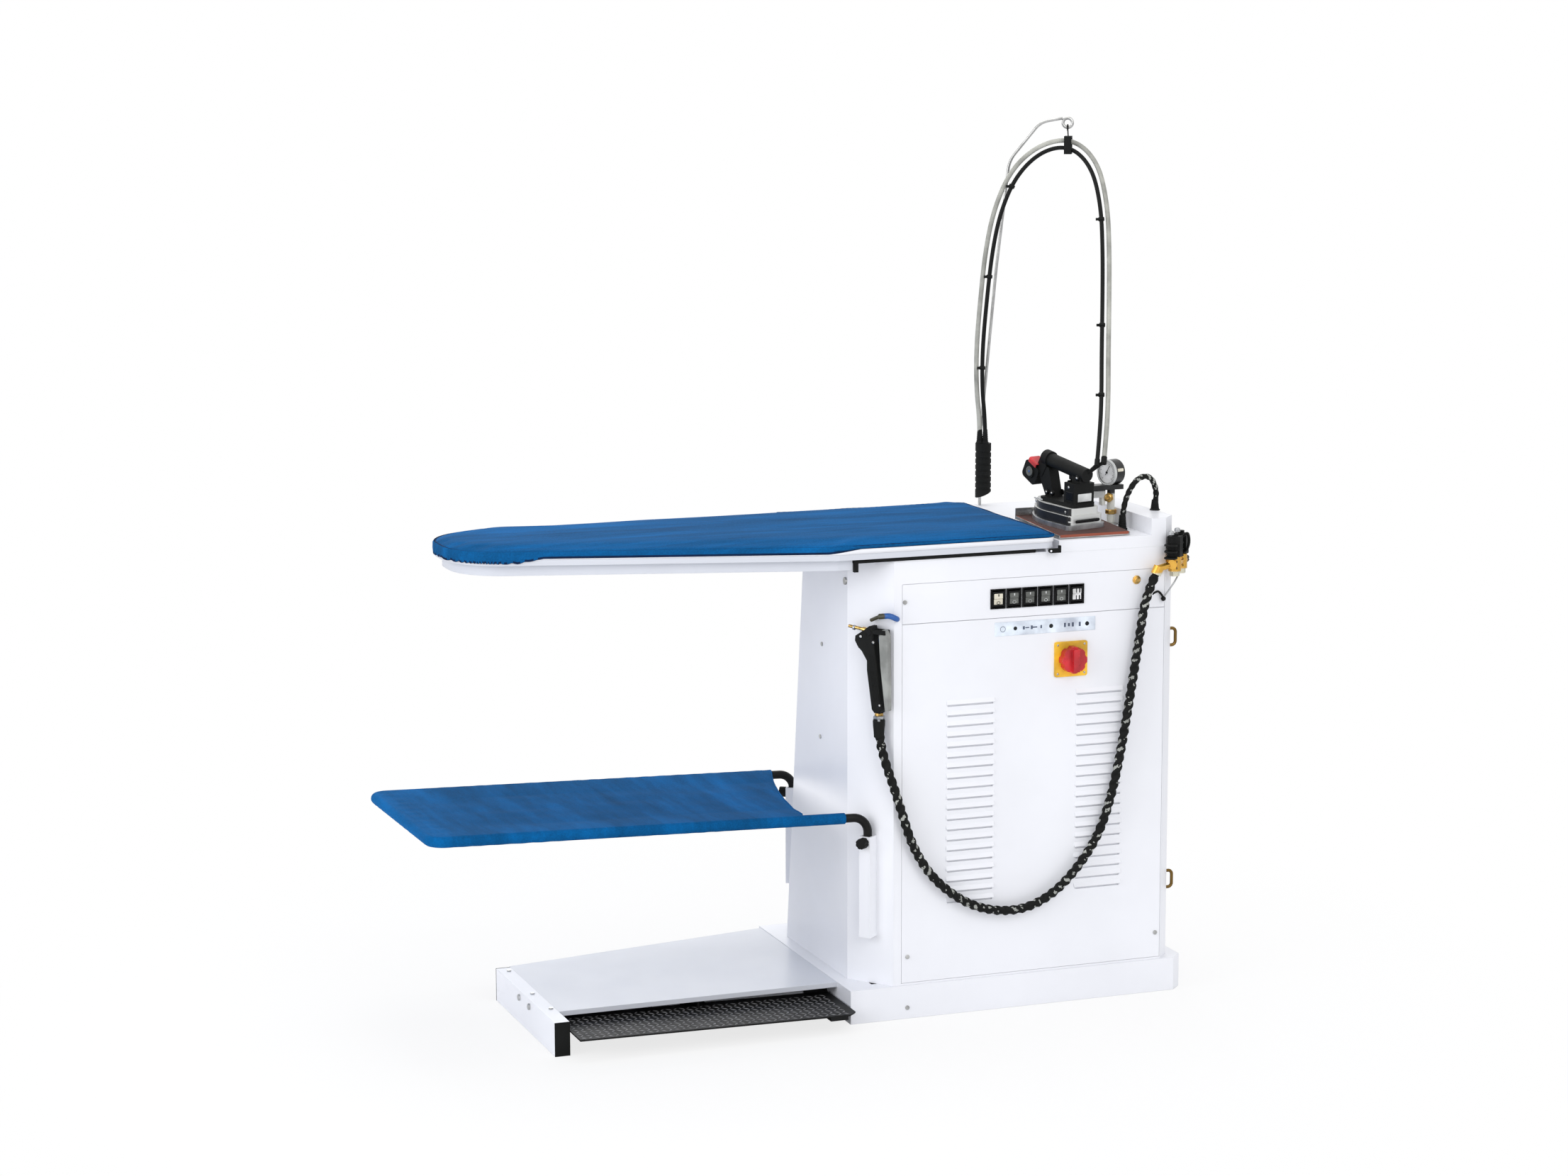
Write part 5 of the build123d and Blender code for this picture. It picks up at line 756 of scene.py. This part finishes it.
def tray_path():
    """Centre of the rails that carry the cloth, with rounded corners."""
    plan = [(FRONT_END, FRONT_RAIL_Y)]
    x = FRONT_END
    while x > RAIL_LEFT + CORNER + PATH_STEP:
        x -= PATH_STEP
        plan.append((x, FRONT_RAIL_Y))
    for middle_y, start in ((FRONT_RAIL_Y + CORNER, 270), (REAR_RAIL_Y - CORNER, 180)):
        if start == 180:
            y = FRONT_RAIL_Y + CORNER
            while y < REAR_RAIL_Y - CORNER - PATH_STEP:
                y += PATH_STEP
                plan.append((RAIL_LEFT, y))
        for k in range(9):
            angle = radians(start - 90 * k / 8)
            plan.append((RAIL_LEFT + CORNER + CORNER * cos(angle), middle_y + CORNER * sin(angle)))
    x = RAIL_LEFT + CORNER
    while x < REAR_END - PATH_STEP:
        x += PATH_STEP
        plan.append((x, REAR_RAIL_Y))
    plan.append((REAR_END, REAR_RAIL_Y))
    return [at(x, y, tray_z(x, y)) for x, y in plan]


def add_tray_cloth():
    def ripple(spot):
        along = spot.x * 1000 + spot.y * 1000
        wave = sin(along / 5.3 + 3 * noise.noise(spot * 9))
        return (0.35 * wave * (0.4 + noise.noise(spot * 14)) + 0.3) / 1000

    rings = tube_rings(tray_path(), SLEEVE_R / 1000, 20, ripple)
    sleeve = rings_mesh("tray_sleeves", rings, closed_ends=False)
    columns, rows = 130, 66
    points, faces = [], []
    for i in range(columns + 1):
        for j in range(rows + 1):
            v = j / rows
            y = FRONT_RAIL_Y + v * (REAR_RAIL_Y - FRONT_RAIL_Y)
            right = -79 + 92 * v - 12 * sin(pi * v)
            left = RAIL_LEFT
            if y < FRONT_RAIL_Y + CORNER:
                left += CORNER - sqrt(max(0, CORNER**2 - (FRONT_RAIL_Y + CORNER - y) ** 2))
            if y > REAR_RAIL_Y - CORNER:
                left += CORNER - sqrt(max(0, CORNER**2 - (y - REAR_RAIL_Y + CORNER) ** 2))
            x = left + (right - left) * i / columns
            inward = min(v, 1 - v) * (REAR_RAIL_Y - FRONT_RAIL_Y)
            from_left = x - left
            hang = min(1.0, inward / 90) ** 1.3 * min(1.0, from_left / 110) ** 1.3
            slack = TRAY_SAG * hang
            crease = noise.noise(Vector((x / 130, y / 46, 2.2))) * 1.5 * hang
            pull = sin(y / 6.5 + 2 * noise.noise(Vector((x / 90, y / 60, 5)))) * 0.5
            pull *= max(0.0, 1 - abs(from_left - 22) / 40) * min(1.0, inward / 20)
            points.append(at(x, y, tray_z(x, y) + SLEEVE_R - slack + crease + pull))
    for i in range(columns):
        for j in range(rows):
            a = i * (rows + 1) + j
            faces.append((a, a + rows + 1, a + rows + 2, a + 1))
    panel = mesh_of("tray_panel", points, faces)
    whole = bmesh.new()
    whole.from_mesh(sleeve)
    whole.from_mesh(panel)
    whole.to_mesh(sleeve)
    whole.free()
    cloth = new_object("tray_sling", sleeve, "tray_cloth", "tray")
    edge = points[columns * (rows + 1):][2:-2]
    hem = new_object("tray_hem", rings_mesh("tray_hem", tube_rings(edge, 0.0016, 8)), "tray_cloth", "tray")
    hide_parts("tray_cloth")


# Small fittings, each built from rounded blocks and turned shapes
def local_frame(origin, x_dir, z_dir=UP):
    """Matrix from a fitting's own millimetres to the row's frame."""
    x_axis = Vector(x_dir).normalized()
    z_axis = Vector(z_dir)
    z_axis = (z_axis - x_axis * z_axis.dot(x_axis)).normalized()
    turn = Matrix((x_axis, z_axis.cross(x_axis), z_axis)).transposed().to_4x4()
    return Matrix.Translation(at(*origin)) @ turn @ Matrix.Scale(0.001, 4)


MACHINE = local_frame((0, 0, 0), (1, 0, 0))


class Fitting:
    """Gathers shapes of several finishes into one piece."""

    def __init__(self, place=MACHINE):
        self.mesh = bmesh.new()
        self.place = place
        self.keys = []

    def take(self, points, faces, key):
        if key not in self.keys:
            self.keys.append(key)
        slot = self.keys.index(key)
        corners = [self.mesh.verts.new(self.place @ Vector(p)) for p in points]
        for face in faces:
            made = self.mesh.faces.new([corners[i] for i in face])
            made.material_index = slot

    def block(self, low, high, key, round_by=0.8):
        """Block whose edges are all cut back by round_by."""
        (x0, y0, z0), (x1, y1, z1) = low, high
        cut = min(round_by, min(x1 - x0, y1 - y0, z1 - z0) / 2.2)
        plan = (
            (x0 + cut, y0), (x1 - cut, y0), (x1, y0 + cut), (x1, y1 - cut),
            (x1 - cut, y1), (x0 + cut, y1), (x0, y1 - cut), (x0, y0 + cut))
        points = []
        for z, inset in ((z0, cut), (z0 + cut, 0), (z1 - cut, 0), (z1, cut)):
            for x, y in plan:
                dx, dy = (x0 + x1) / 2 - x, (y0 + y1) / 2 - y
                points.append((
                    x + copysign(min(inset, abs(dx)), dx), y + copysign(min(inset, abs(dy)), dy), z))
        self.take(points, skin_faces(4, 8), key)

    def turned(self, start, run, profile, key, sides=28):
        """Profile of (along, radius) pairs turned about an axis."""
        axis = Vector(run).normalized()
        side = axis.orthogonal().normalized()
        outs = circle(side, axis.cross(side), sides)
        points = []
        for along, radius in profile:
            spot = Vector(start) + axis * along
            points += [spot + out * max(radius, 0.01) for out in outs]
        self.take(points, skin_faces(len(profile), sides), key)

    def screw(self, spot, out, radius, key="steel"):
        """Domed head with a square recess."""
        rise = radius * 0.5
        dome = ((-0.2, radius), (rise * 0.4, radius * 0.96), (rise * 0.8, radius * 0.7), (rise, radius * 0.4))
        self.turned(spot, out, dome, key, 20)
        top = Vector(spot) + Vector(out).normalized() * (rise - 0.05)
        self.turned(top, out, ((0, radius * 0.34), (0.12, radius * 0.3)), "ink", 4)

    def hexagon(self, start, run, radius, length, key):
        cut = radius * 0.12
        profile = ((0, radius - cut), (cut, radius), (length - cut, radius), (length, radius - cut))
        self.turned(start, run, profile, key, 6)

    def wire(self, points, radius, key, sides=12):
        rings = tube_rings([Vector(p) for p in points], radius, sides)
        self.take([p for ring in rings for p in ring], skin_faces(len(rings), sides), key)

    def done(self, name, body="machine"):
        mesh = bpy.data.meshes.new(name)
        bmesh.ops.recalc_face_normals(self.mesh, faces=self.mesh.faces)
        self.mesh.to_mesh(mesh)
        self.mesh.free()
        obj = placed(name, mesh)
        for key in self.keys:
            mesh.materials.append(finishes[key].data)
        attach(obj, body)


def curve_points(points, steps=10):
    """Smooth run of points through a few given ones."""
    path = [Vector(p) for p in points]
    ends = [path[0] * 2 - path[1]] + path + [path[-1] * 2 - path[-2]]
    line = []
    for a, b, c, d in zip(ends, ends[1:], ends[2:], ends[3:]):
        for k in range(steps):
            t = k / steps
            line.append(0.5 * (2 * b + (c - a) * t + (2 * a - 5 * b + 4 * c - d) * t * t
                               + (3 * b - a - 3 * c + d) * t**3))
    return line + [path[-1]]


def add_gauge():
    x, y = 590, 158
    turn = radians(200)
    dial = Fitting(local_frame((x, y, 976), UP, (cos(turn), sin(turn), 0)))
    dial.turned((0, 0, 10.8), UP, ((0, 20.6), (0.5, 20.6), (0.7, 20.2)), "dial", 48)
    bezel = ((0, 24.2), (0.6, 25.0), (4.2, 25.0), (5.6, 24.2), (5.8, 22.2), (4.4, 21.3), (2.4, 20.9))
    dial.turned((0, 0, 8.5), UP, bezel, "pale_cap", 48)
    for k in range(28):
        angle = radians(-135 + 10 * k)
        long = 4.2 if k % 3 == 0 else 2.2
        ahead = Vector((cos(angle), sin(angle), 0))
        near = ahead * (18.8 - long) + Vector((0, 0, 11.6))
        dial.wire((near, near + ahead * long), 0.32, "ink", 6)
    dial.wire(((-5, 3, 12.6), (0, 0, 12.8), (13.5, -8, 12.6)), 0.55, "ink", 8)
    dial.turned((0, 0, 11.4), UP, ((0, 2.2), (1.8, 2.0), (2.2, 1.2)), "ink", 20)
    # Two ivory strips along the black case's side stand for its glint: a painted highlight.
    for side, rise in ((12, 4.0), (17, 3.4)):
        angle = radians(side)
        low = (24 * sin(angle) - rise / 2, -24.6 * cos(angle), -9)
        high = (24 * sin(angle) + rise / 2, -23.2 * cos(angle), 6)
        dial.block(low, high, "ivory_key", 0.4)
    dial.done("gauge_dial")
    nut = Fitting()
    elbow = (-0.6, -0.8, 0)
    nut.hexagon((583, 151, 929), elbow, 9.5, 7, "brass")
    nut.turned((579, 145.8, 929), elbow, ((0, 6.2), (2.5, 6.2), (3.2, 5.0), (3.3, 2.4), (1.6, 2.0)), "brass")
    nut.hexagon((x, y, 896), UP, 10.5, 9, "brass")
    nut.turned((x, y, DECK_TOP), UP, ((0, 15), (1.6, 15), (2.4, 14), (3.0, 9)), "steel")
    nut.block((545.5, 150.2, 929), (574.5, 150.9, 942), "pale_cap", 0.6)
    for spot in (548, 572):
        nut.screw((spot, 150.2, 950), FORWARD, 2.6)
    nut.done("gauge_fittings")


def add_gun_details():
    place = local_frame((51.36, 19.16, 686), (60, -79, 0))
    gun = Fitting(place)
    for x, z, radius in ((-20.6, 32.8, 3.0), (6.0, 24.3, 3.0), (19.5, -91.0, 2.6)):
        boss = ((0, radius + 1.4), (1.0, radius + 1.4), (1.3, radius + 0.8))
        gun.turned((x, -10.2, z), FORWARD, boss, "gloss_black")
        gun.screw((x, -11.4, z), FORWARD, radius - 0.4)
    gun.turned((-3.5, -10.4, 42), FORWARD, ((0, 5.6), (1.2, 5.6), (1.7, 4.9), (1.8, 2.2)), "gloss_black")
    for k in range(5):
        x = -3.2 + 2.9 * k
        gun.wire(((x, -10.7, 4 - k), (x + 6.4, -10.9, -52), (x + 11.4, -10.7, -84 + k)), 0.7, "black", 8)
    gun.block((-30, -6, 8.6), (-24, 6, 14.5), "gloss_black", 2.0)
    gun.done("gun_details")
    tail = Fitting(place)
    tail.hexagon((12, 0, -118.5), UP, 10.8, 6.5, "zinc")
    tail.turned((17.5, -9.6, -121), UP, ((0, 2.0), (0.6, 2.6), (4.4, 2.6), (5, 1.8)), "zinc", 16)
    boot = ((0, 9.3), (6, 9.6), (14, 10.2), (22, 11.0), (30, 11.4), (33, 10.4))
    tail.turned((12, 0, -152), UP, boot, "rubber")
    tail.turned((-38, 0, 45.7), (-0.99, 0, 0.11), ((0, 3.4), (0.8, 4.6), (4.2, 4.6), (5, 3.5)), "zinc", 20)
    tail.done("gun_fittings")


def add_switch_details():
    legend = Fitting()
    z = 719
    legend.block((284, 1.9, z - 13), (487, 3.1, z + 13), "legend", 0.6)
    legend.turned((300, 2.1, z), FORWARD, ((0, 5.4), (0.35, 5.4), (0.4, 4.6), (0.1, 4.4)), "legend_ink", 24)
    for x, radius in ((325, 3.6), (397, 4.0), (470, 4.0)):
        legend.turned((x, 2.1, z), FORWARD, ((0, radius), (0.35, radius), (0.45, radius * 0.8)), "ink", 24)
    bars = (
        (342, 2.0, 6), (349, 4.0, 2), (358, 2.0, 7), (364, 5.0, 2.4), (377, 1.6, 6), (425, 2.0, 8),
        (433, 2.0, 6), (441, 2.0, 8), (455, 2.0, 8))
    for x, width, tall in bars:
        legend.block((x - width, 1.6, z - tall / 2), (x + width, 2.2, z + tall / 2), "legend_ink", 0.3)
    legend.done("legend_strip")
    circle_spots = [a / 8 * pi for a in range(17)]
    for number in range(6):
        key = Fitting(local_frame((290 + 31.6 * number, 1.3, 776), (1, 0, 0)))
        plate = {0: "ivory_key", 5: "white_key"}.get(number, "grey_key")
        mark = "ink" if number == 0 else "pale_cap"
        key.block((-8.6, -2.6, 0.4), (8.6, -0.4, 10.2), plate)
        key.block((-8.6, -1.4, -10.2), (8.6, -0.2, 0.2), plate)
        if number == 5:
            for line, width in ((-1.6, 0.9), (4.8, 1.3)):
                key.block((line - width, -3.0, 2.5), (line + width, -2.4, 11.6), "ink", 0.3)
                key.block((line - width, -2.0, -11.6), (line + width, -1.4, -2.2), "ink", 0.3)
        else:
            key.block((-1.0, -3.1, 5), (1.0, -2.5, 9.5), mark, 0.3)
            key.wire([(3.2 * cos(a), -1.9, -7 + 2.6 * sin(a)) for a in circle_spots], 0.4, mark, 6)
        key.done(f"key_marks_{number + 1}", f"key_{number + 1}")
    cap = Fitting()
    cap.turned((570.5, 3.1, 794.6), FORWARD, ((0, 8.2), (1.2, 8.2), (1.8, 7.4), (2.0, 5.8)), "brass")
    cap.hexagon((570.5, 1.4, 794.6), FORWARD, 5.8, 4.2, "brass")
    for x, z in ((410, 682), (464, 682), (410, 628), (464, 628)):
        cap.screw((x, -1.0, z), FORWARD, 2.2)
    cap.done("panel_fittings")


def add_tread():
    """Raised lozenges over the pedal's plate, leaning left and right by turns, painted lighter grey as a
    painted highlight.
    """
    low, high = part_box("foot_pedal")
    skin = BVHTree.FromObject(nodes["foot_pedal"], bpy.context.evaluated_depsgraph_get())
    pitch, half_long, half_wide, rise, margin = 0.0125, 0.007, 0.002, 0.0008, 0.009
    columns = int((high.x - low.x - margin) / pitch)
    rows = int((high.y - low.y - 4 * margin) / pitch)
    points, faces = [], []
    for i in range(columns):
        for j in range(rows):
            above = Vector((low.x + margin + pitch * i, low.y + margin + pitch * j, high.z + 0.02))
            turn = radians(45 if (i + j) % 2 else -45)
            along = Vector((cos(turn), sin(turn), 0))
            across = Vector((-along.y, along.x, 0))
            down = Vector((0, 0, -1))
            spots = [skin.ray_cast(above + along * shift, down) for shift in (0, -half_long, half_long)]
            if not all(hit and normal.z > 0.98 for hit, normal, _, _ in spots):
                continue
            middle = spots[0][0]
            first = len(points)
            for height, share in ((-0.0002, 1.0), (rise, 0.55)):
                for out in (along * half_long, across * half_wide, along * -half_long, across * -half_wide):
                    points.append(middle + out * share + Vector((0, 0, height)))
            faces += [[first + k for k in face] for face in skin_faces(2, 4)]
    mesh = mesh_of("tread_lozenges", points, faces)
    new_object("tread_lozenges", mesh, "tread_lozenge_highlight", "pedal", smooth=False)


def add_louvre_liners():
    """Pale baffles right behind the louvres."""
    liner = Fitting()
    for x, top in ((237, 593.5), (497, 597)):
        liner.block((x - 51, 6.15, top - 388), (x + 51, 7.3, top - 3), "white", 0.4)
    liner.done("louvre_baffles")


def add_iron_details():
    lean, heading, head_tilt = radians(2.7), radians(103.5), radians(25)
    up = Vector((0, -sin(lean), cos(lean)))
    ahead = Vector((cos(heading), sin(heading), 0))
    place = local_frame((474, 133, 892.6), ahead - up * ahead.dot(up), up)
    iron = Fitting(place)
    iron.turned((52, 0, 119), (-0.2, 0, 1), ((-4, 6.4), (0.5, 6.2), (2.6, 5.0), (3.8, 2.8)), "pale_cap")
    wheel = ((0, 9.4), (1.4, 9.0), (1.6, 6.6), (0.9, 6.2), (1.1, 2.0))
    boss = ((0, 5.6), (2.2, 5.4), (3.2, 4.2), (3.4, 2.0))
    for side in (-1, 1):
        out = (0, side, 0)
        iron.turned((77, side * 16.6, 84), out, wheel, "grey_key")
        iron.turned((77, side * 17.4, 84), out, ((0, 2.2), (1.0, 1.8)), "blue_sleeve", 16)
        for x, z in ((12, 52), (28, 52), (-62, 92)):
            iron.turned((x, side * 10.6, z), out, boss, "gloss_black")
            iron.screw((x, side * 13.9, z), out, 2.4)
        iron.screw((-52, side * 24, 74), out, 2.8)
        iron.screw((-60, side * 36.5, 30), out, 2.6)
        iron.block((-66, side * 24.4 - 0.8, 50), (-46, side * 24.4 + 0.8, 66), "gloss_black")
        iron.block((20, side * 28 - 1.0, 38.5), (46, side * 28 + 1.0, 41), "pale_cap")
    iron.block((-36.5, -14, 44), (-34.0, 14, 84), "gloss_black", 1.0)
    iron.block((-40, -8, 84), (-30, 8, 98), "gloss_black", 2.0)
    iron.turned((66, 0, 29), (1, 0, 0.4), ((-6, 9), (0, 8.4), (5, 6.2), (8, 3.0)), "chrome")
    iron.block((-83.5, -28, 11), (-79, 28, 17), "gloss_black", 1.6)
    iron.block((-71.4, -16, 48), (-69.4, 16, 63), "pale_cap")
    iron.done("iron_details")
    head = Matrix.Translation((77, 0, 84)) @ Matrix.Rotation(-head_tilt, 4, "Y") @ Matrix.Rotation(pi, 4, "Z")
    thumb = Fitting(place @ head)
    thumb.block((-13.5, -16.4, 21.4), (13.5, 8.0, 24.6), "red", 1.4)
    thumb.block((-12.5, -17.4, 14.8), (12.5, -15.5, 23.0), "red")
    thumb.done("thumb_pad", "button")


def add_valve_details():
    valve = Fitting()
    stem = curve_points(((602, 6, 762), (608, 3, 768), (615, 1, 770), (620, -3, 764), (623, -4, 758)))
    valve.wire(stem, 2.0, "rubber")
    ball = ((-4.6, 1.2), (-3.6, 3.2), (-1.6, 4.5), (0, 4.8), (1.6, 4.5), (3.6, 3.2), (4.6, 1.2))
    valve.turned((623, -4, 757), UP, ball, "gloss_black", 24)
    rod = curve_points(((624, -4, 760), (634, -6, 774), (646, -5, 789), (655, 0, 800), (664, 10, 812)))
    valve.wire(rod, 1.5, "zinc")
    middle = Vector((642.5, -5.9, 823))
    along = Vector((0.6796, 0.7336, 0))
    out = Vector((0.7336, -0.6796, 0))
    up = Vector(UP)
    cap = ((-4, 5.6), (1, 5.4), (3, 4.2), (3.6, 2.0))
    rib = ((0, 12.1), (0.8, 12.6), (2.2, 12.6), (3.0, 12.1))
    for shift in (-20, 20):
        spot = middle + along * shift
        for rise in (6, -6):
            valve.screw(spot + out * 11.6 + up * rise, out, 2.6, "dark_brass")
        valve.turned(spot + up * 60.5, UP, cap, "zinc")
        for rise in (20, 32, 44):
            valve.turned(spot + up * (rise - 9), UP, rib, "black")
    lead = middle + along * 20 + up * 48
    bend = ((9, 0), (20, 6), (23, -10), (18, -26), (9, -30))
    valve.wire(curve_points([lead + out * a + up * b for a, b in bend]), 2.6, "cable")
    valve.done("valve_details")


def add_glands():
    """Tapered glands where the leads leave the deck, the sleeve and the loop's fitting."""
    gland = Fitting()
    taper = [(0.0, 9.5), (3.0, 9.8), (4.0, 8.2)]
    for k in range(6):
        taper += [(5.0 + 4 * k, 8.0 - 0.35 * k), (7.6 + 4 * k, 7.9 - 0.35 * k), (8.2 + 4 * k, 6.9 - 0.2 * k)]
    gland.turned((578, 82, 876.8), UP, taper, "rubber")
    gland.turned((654, 100, 907.6), UP, [(a * 0.7, r) for a, r in taper], "rubber")
    for x, y, size in ((453, 467, 0.78), (462, 461, 0.72)):
        gland.turned((x, y, 999.6), UP, [(a, r * size) for a, r in taper], "rubber")
    gland.done("lead_glands")


# Studio: pale floor, soft light, white surroundings
def add_area(name, place, target, size, power, tint=(255, 255, 255)):
    data = bpy.data.lights.new(name, "AREA")
    data.shape = "SQUARE"
    data.size = size
    data.energy = power
    data.color = colour(*tint)[:3]
    obj = placed(name, data)
    obj.location = Vector(place)
    obj.rotation_euler = (Vector(target) - Vector(place)).to_track_quat("-Z", "Y").to_euler()


def mix_into(tree, output, share, first, second):
    """Mixes two shaders and gives the mix to an output node."""
    mix = new_node(tree, "ShaderNodeMixShader", {"Fac": share, 1: first.outputs[0], 2: second.outputs[0]})
    tree.links.new(mix.outputs[0], tree.nodes[output].inputs["Surface"])


def add_world():
    world = bpy.data.worlds.new("world")
    bpy.context.scene.world = world
    world.use_nodes = True
    tree = world.node_tree
    light = fill(tree, tree.nodes["Background"], {"Color": colour(250, 251, 255), "Strength": 0.7})
    white = new_node(tree, "ShaderNodeBackground", {"Color": (1, 1, 1, 1), "Strength": 1.0})
    rays = tree.nodes.new("ShaderNodeLightPath").outputs
    clear = new_node(
        tree, "ShaderNodeMath", {0: rays["Is Glossy Ray"], 1: rays["Is Transmission Ray"]}, "MAXIMUM")
    seen = new_node(tree, "ShaderNodeMath", {0: rays["Is Camera Ray"], 1: clear.outputs[0]}, "MAXIMUM")
    mix_into(tree, "World Output", seen.outputs[0], light, white)


def add_floor():
    """Pale floor that keeps the shadow near the object and turns white further away."""
    size = 30.0
    corners = [(-size, -size, 0), (size, -size, 0), (size, size, 0), (-size, size, 0)]
    floor = placed("floor", mesh_of("floor", corners, [(0, 1, 2, 3)]))
    floor.location.z = -0.0005
    data = bpy.data.materials.new("floor")
    data.use_nodes = True
    tree = data.node_tree
    shader = fill(tree, tree.nodes["Principled BSDF"], {
        "Base Color": (0.9, 0.9, 0.9, 1), "Roughness": 0.9, "Specular IOR Level": 0.0})
    glow = new_node(tree, "ShaderNodeEmission", {"Strength": 1.0})
    place = tree.nodes.new("ShaderNodeTexCoord").outputs["Object"]
    away = new_node(tree, "ShaderNodeVectorMath", {0: place}, "LENGTH")
    share = new_node(tree, "ShaderNodeMapRange", {
        "From Min": 0.75, "From Max": 1.5, "To Min": 0.78, "To Max": 1.0, "Value": away.outputs["Value"]})
    camera = tree.nodes.new("ShaderNodeLightPath").outputs["Is Camera Ray"]
    seen = new_node(tree, "ShaderNodeMath", {0: camera, 1: share.outputs["Result"]}, "MULTIPLY")
    mix_into(tree, "Material Output", seen.outputs[0], shader, glow)
    floor.data.materials.append(data)


# The whole scene
TIE_HEIGHTS = ((True, 1500), (True, 1330), (True, 1150), (False, 1440), (False, 1250), (False, 1130))

add_camera()
ties = ties_along(IRON_CABLE, TIE_HEIGHTS, 5.0, 7.0)
twisted_hose("steam_hose", GUN_HOSE, "gun_hose", 8.9, 6.6, 34.0)
add_cord("iron_steam_hose", IRON_HOSE, 9.0, "grey_hose", "iron_hose")
add_cord("iron_lead", IRON_CABLE, 8.0, "cable", "iron_cable")
twisted_hose("housing_lead", LOOP_CABLE, "loop_cable", 5.5, 4.6, 26.0)
add_tray_cloth()
add_board_cover()
add_gauge()
add_gun_details()
add_switch_details()
add_tread()
add_louvre_liners()
add_iron_details()
add_valve_details()
add_glands()
add_world()
add_floor()
add_area("key", (0.6, -4.6, 3.2), (0.1, 0, 0.6), 2.8, 70)
add_area("fill", (-4.4, -1.4, 2.0), (-0.1, 0, 0.6), 2.8, 82, (250, 251, 255))
add_area("top", (0.2, 0.6, 4.2), (0, 0, 0.8), 2.4, 34)
add_area("back", (0.5, 4.5, 2.6), (0, 0, 0.8), 2.6, 46)
bpy.context.scene.view_settings.view_transform = "Standard"
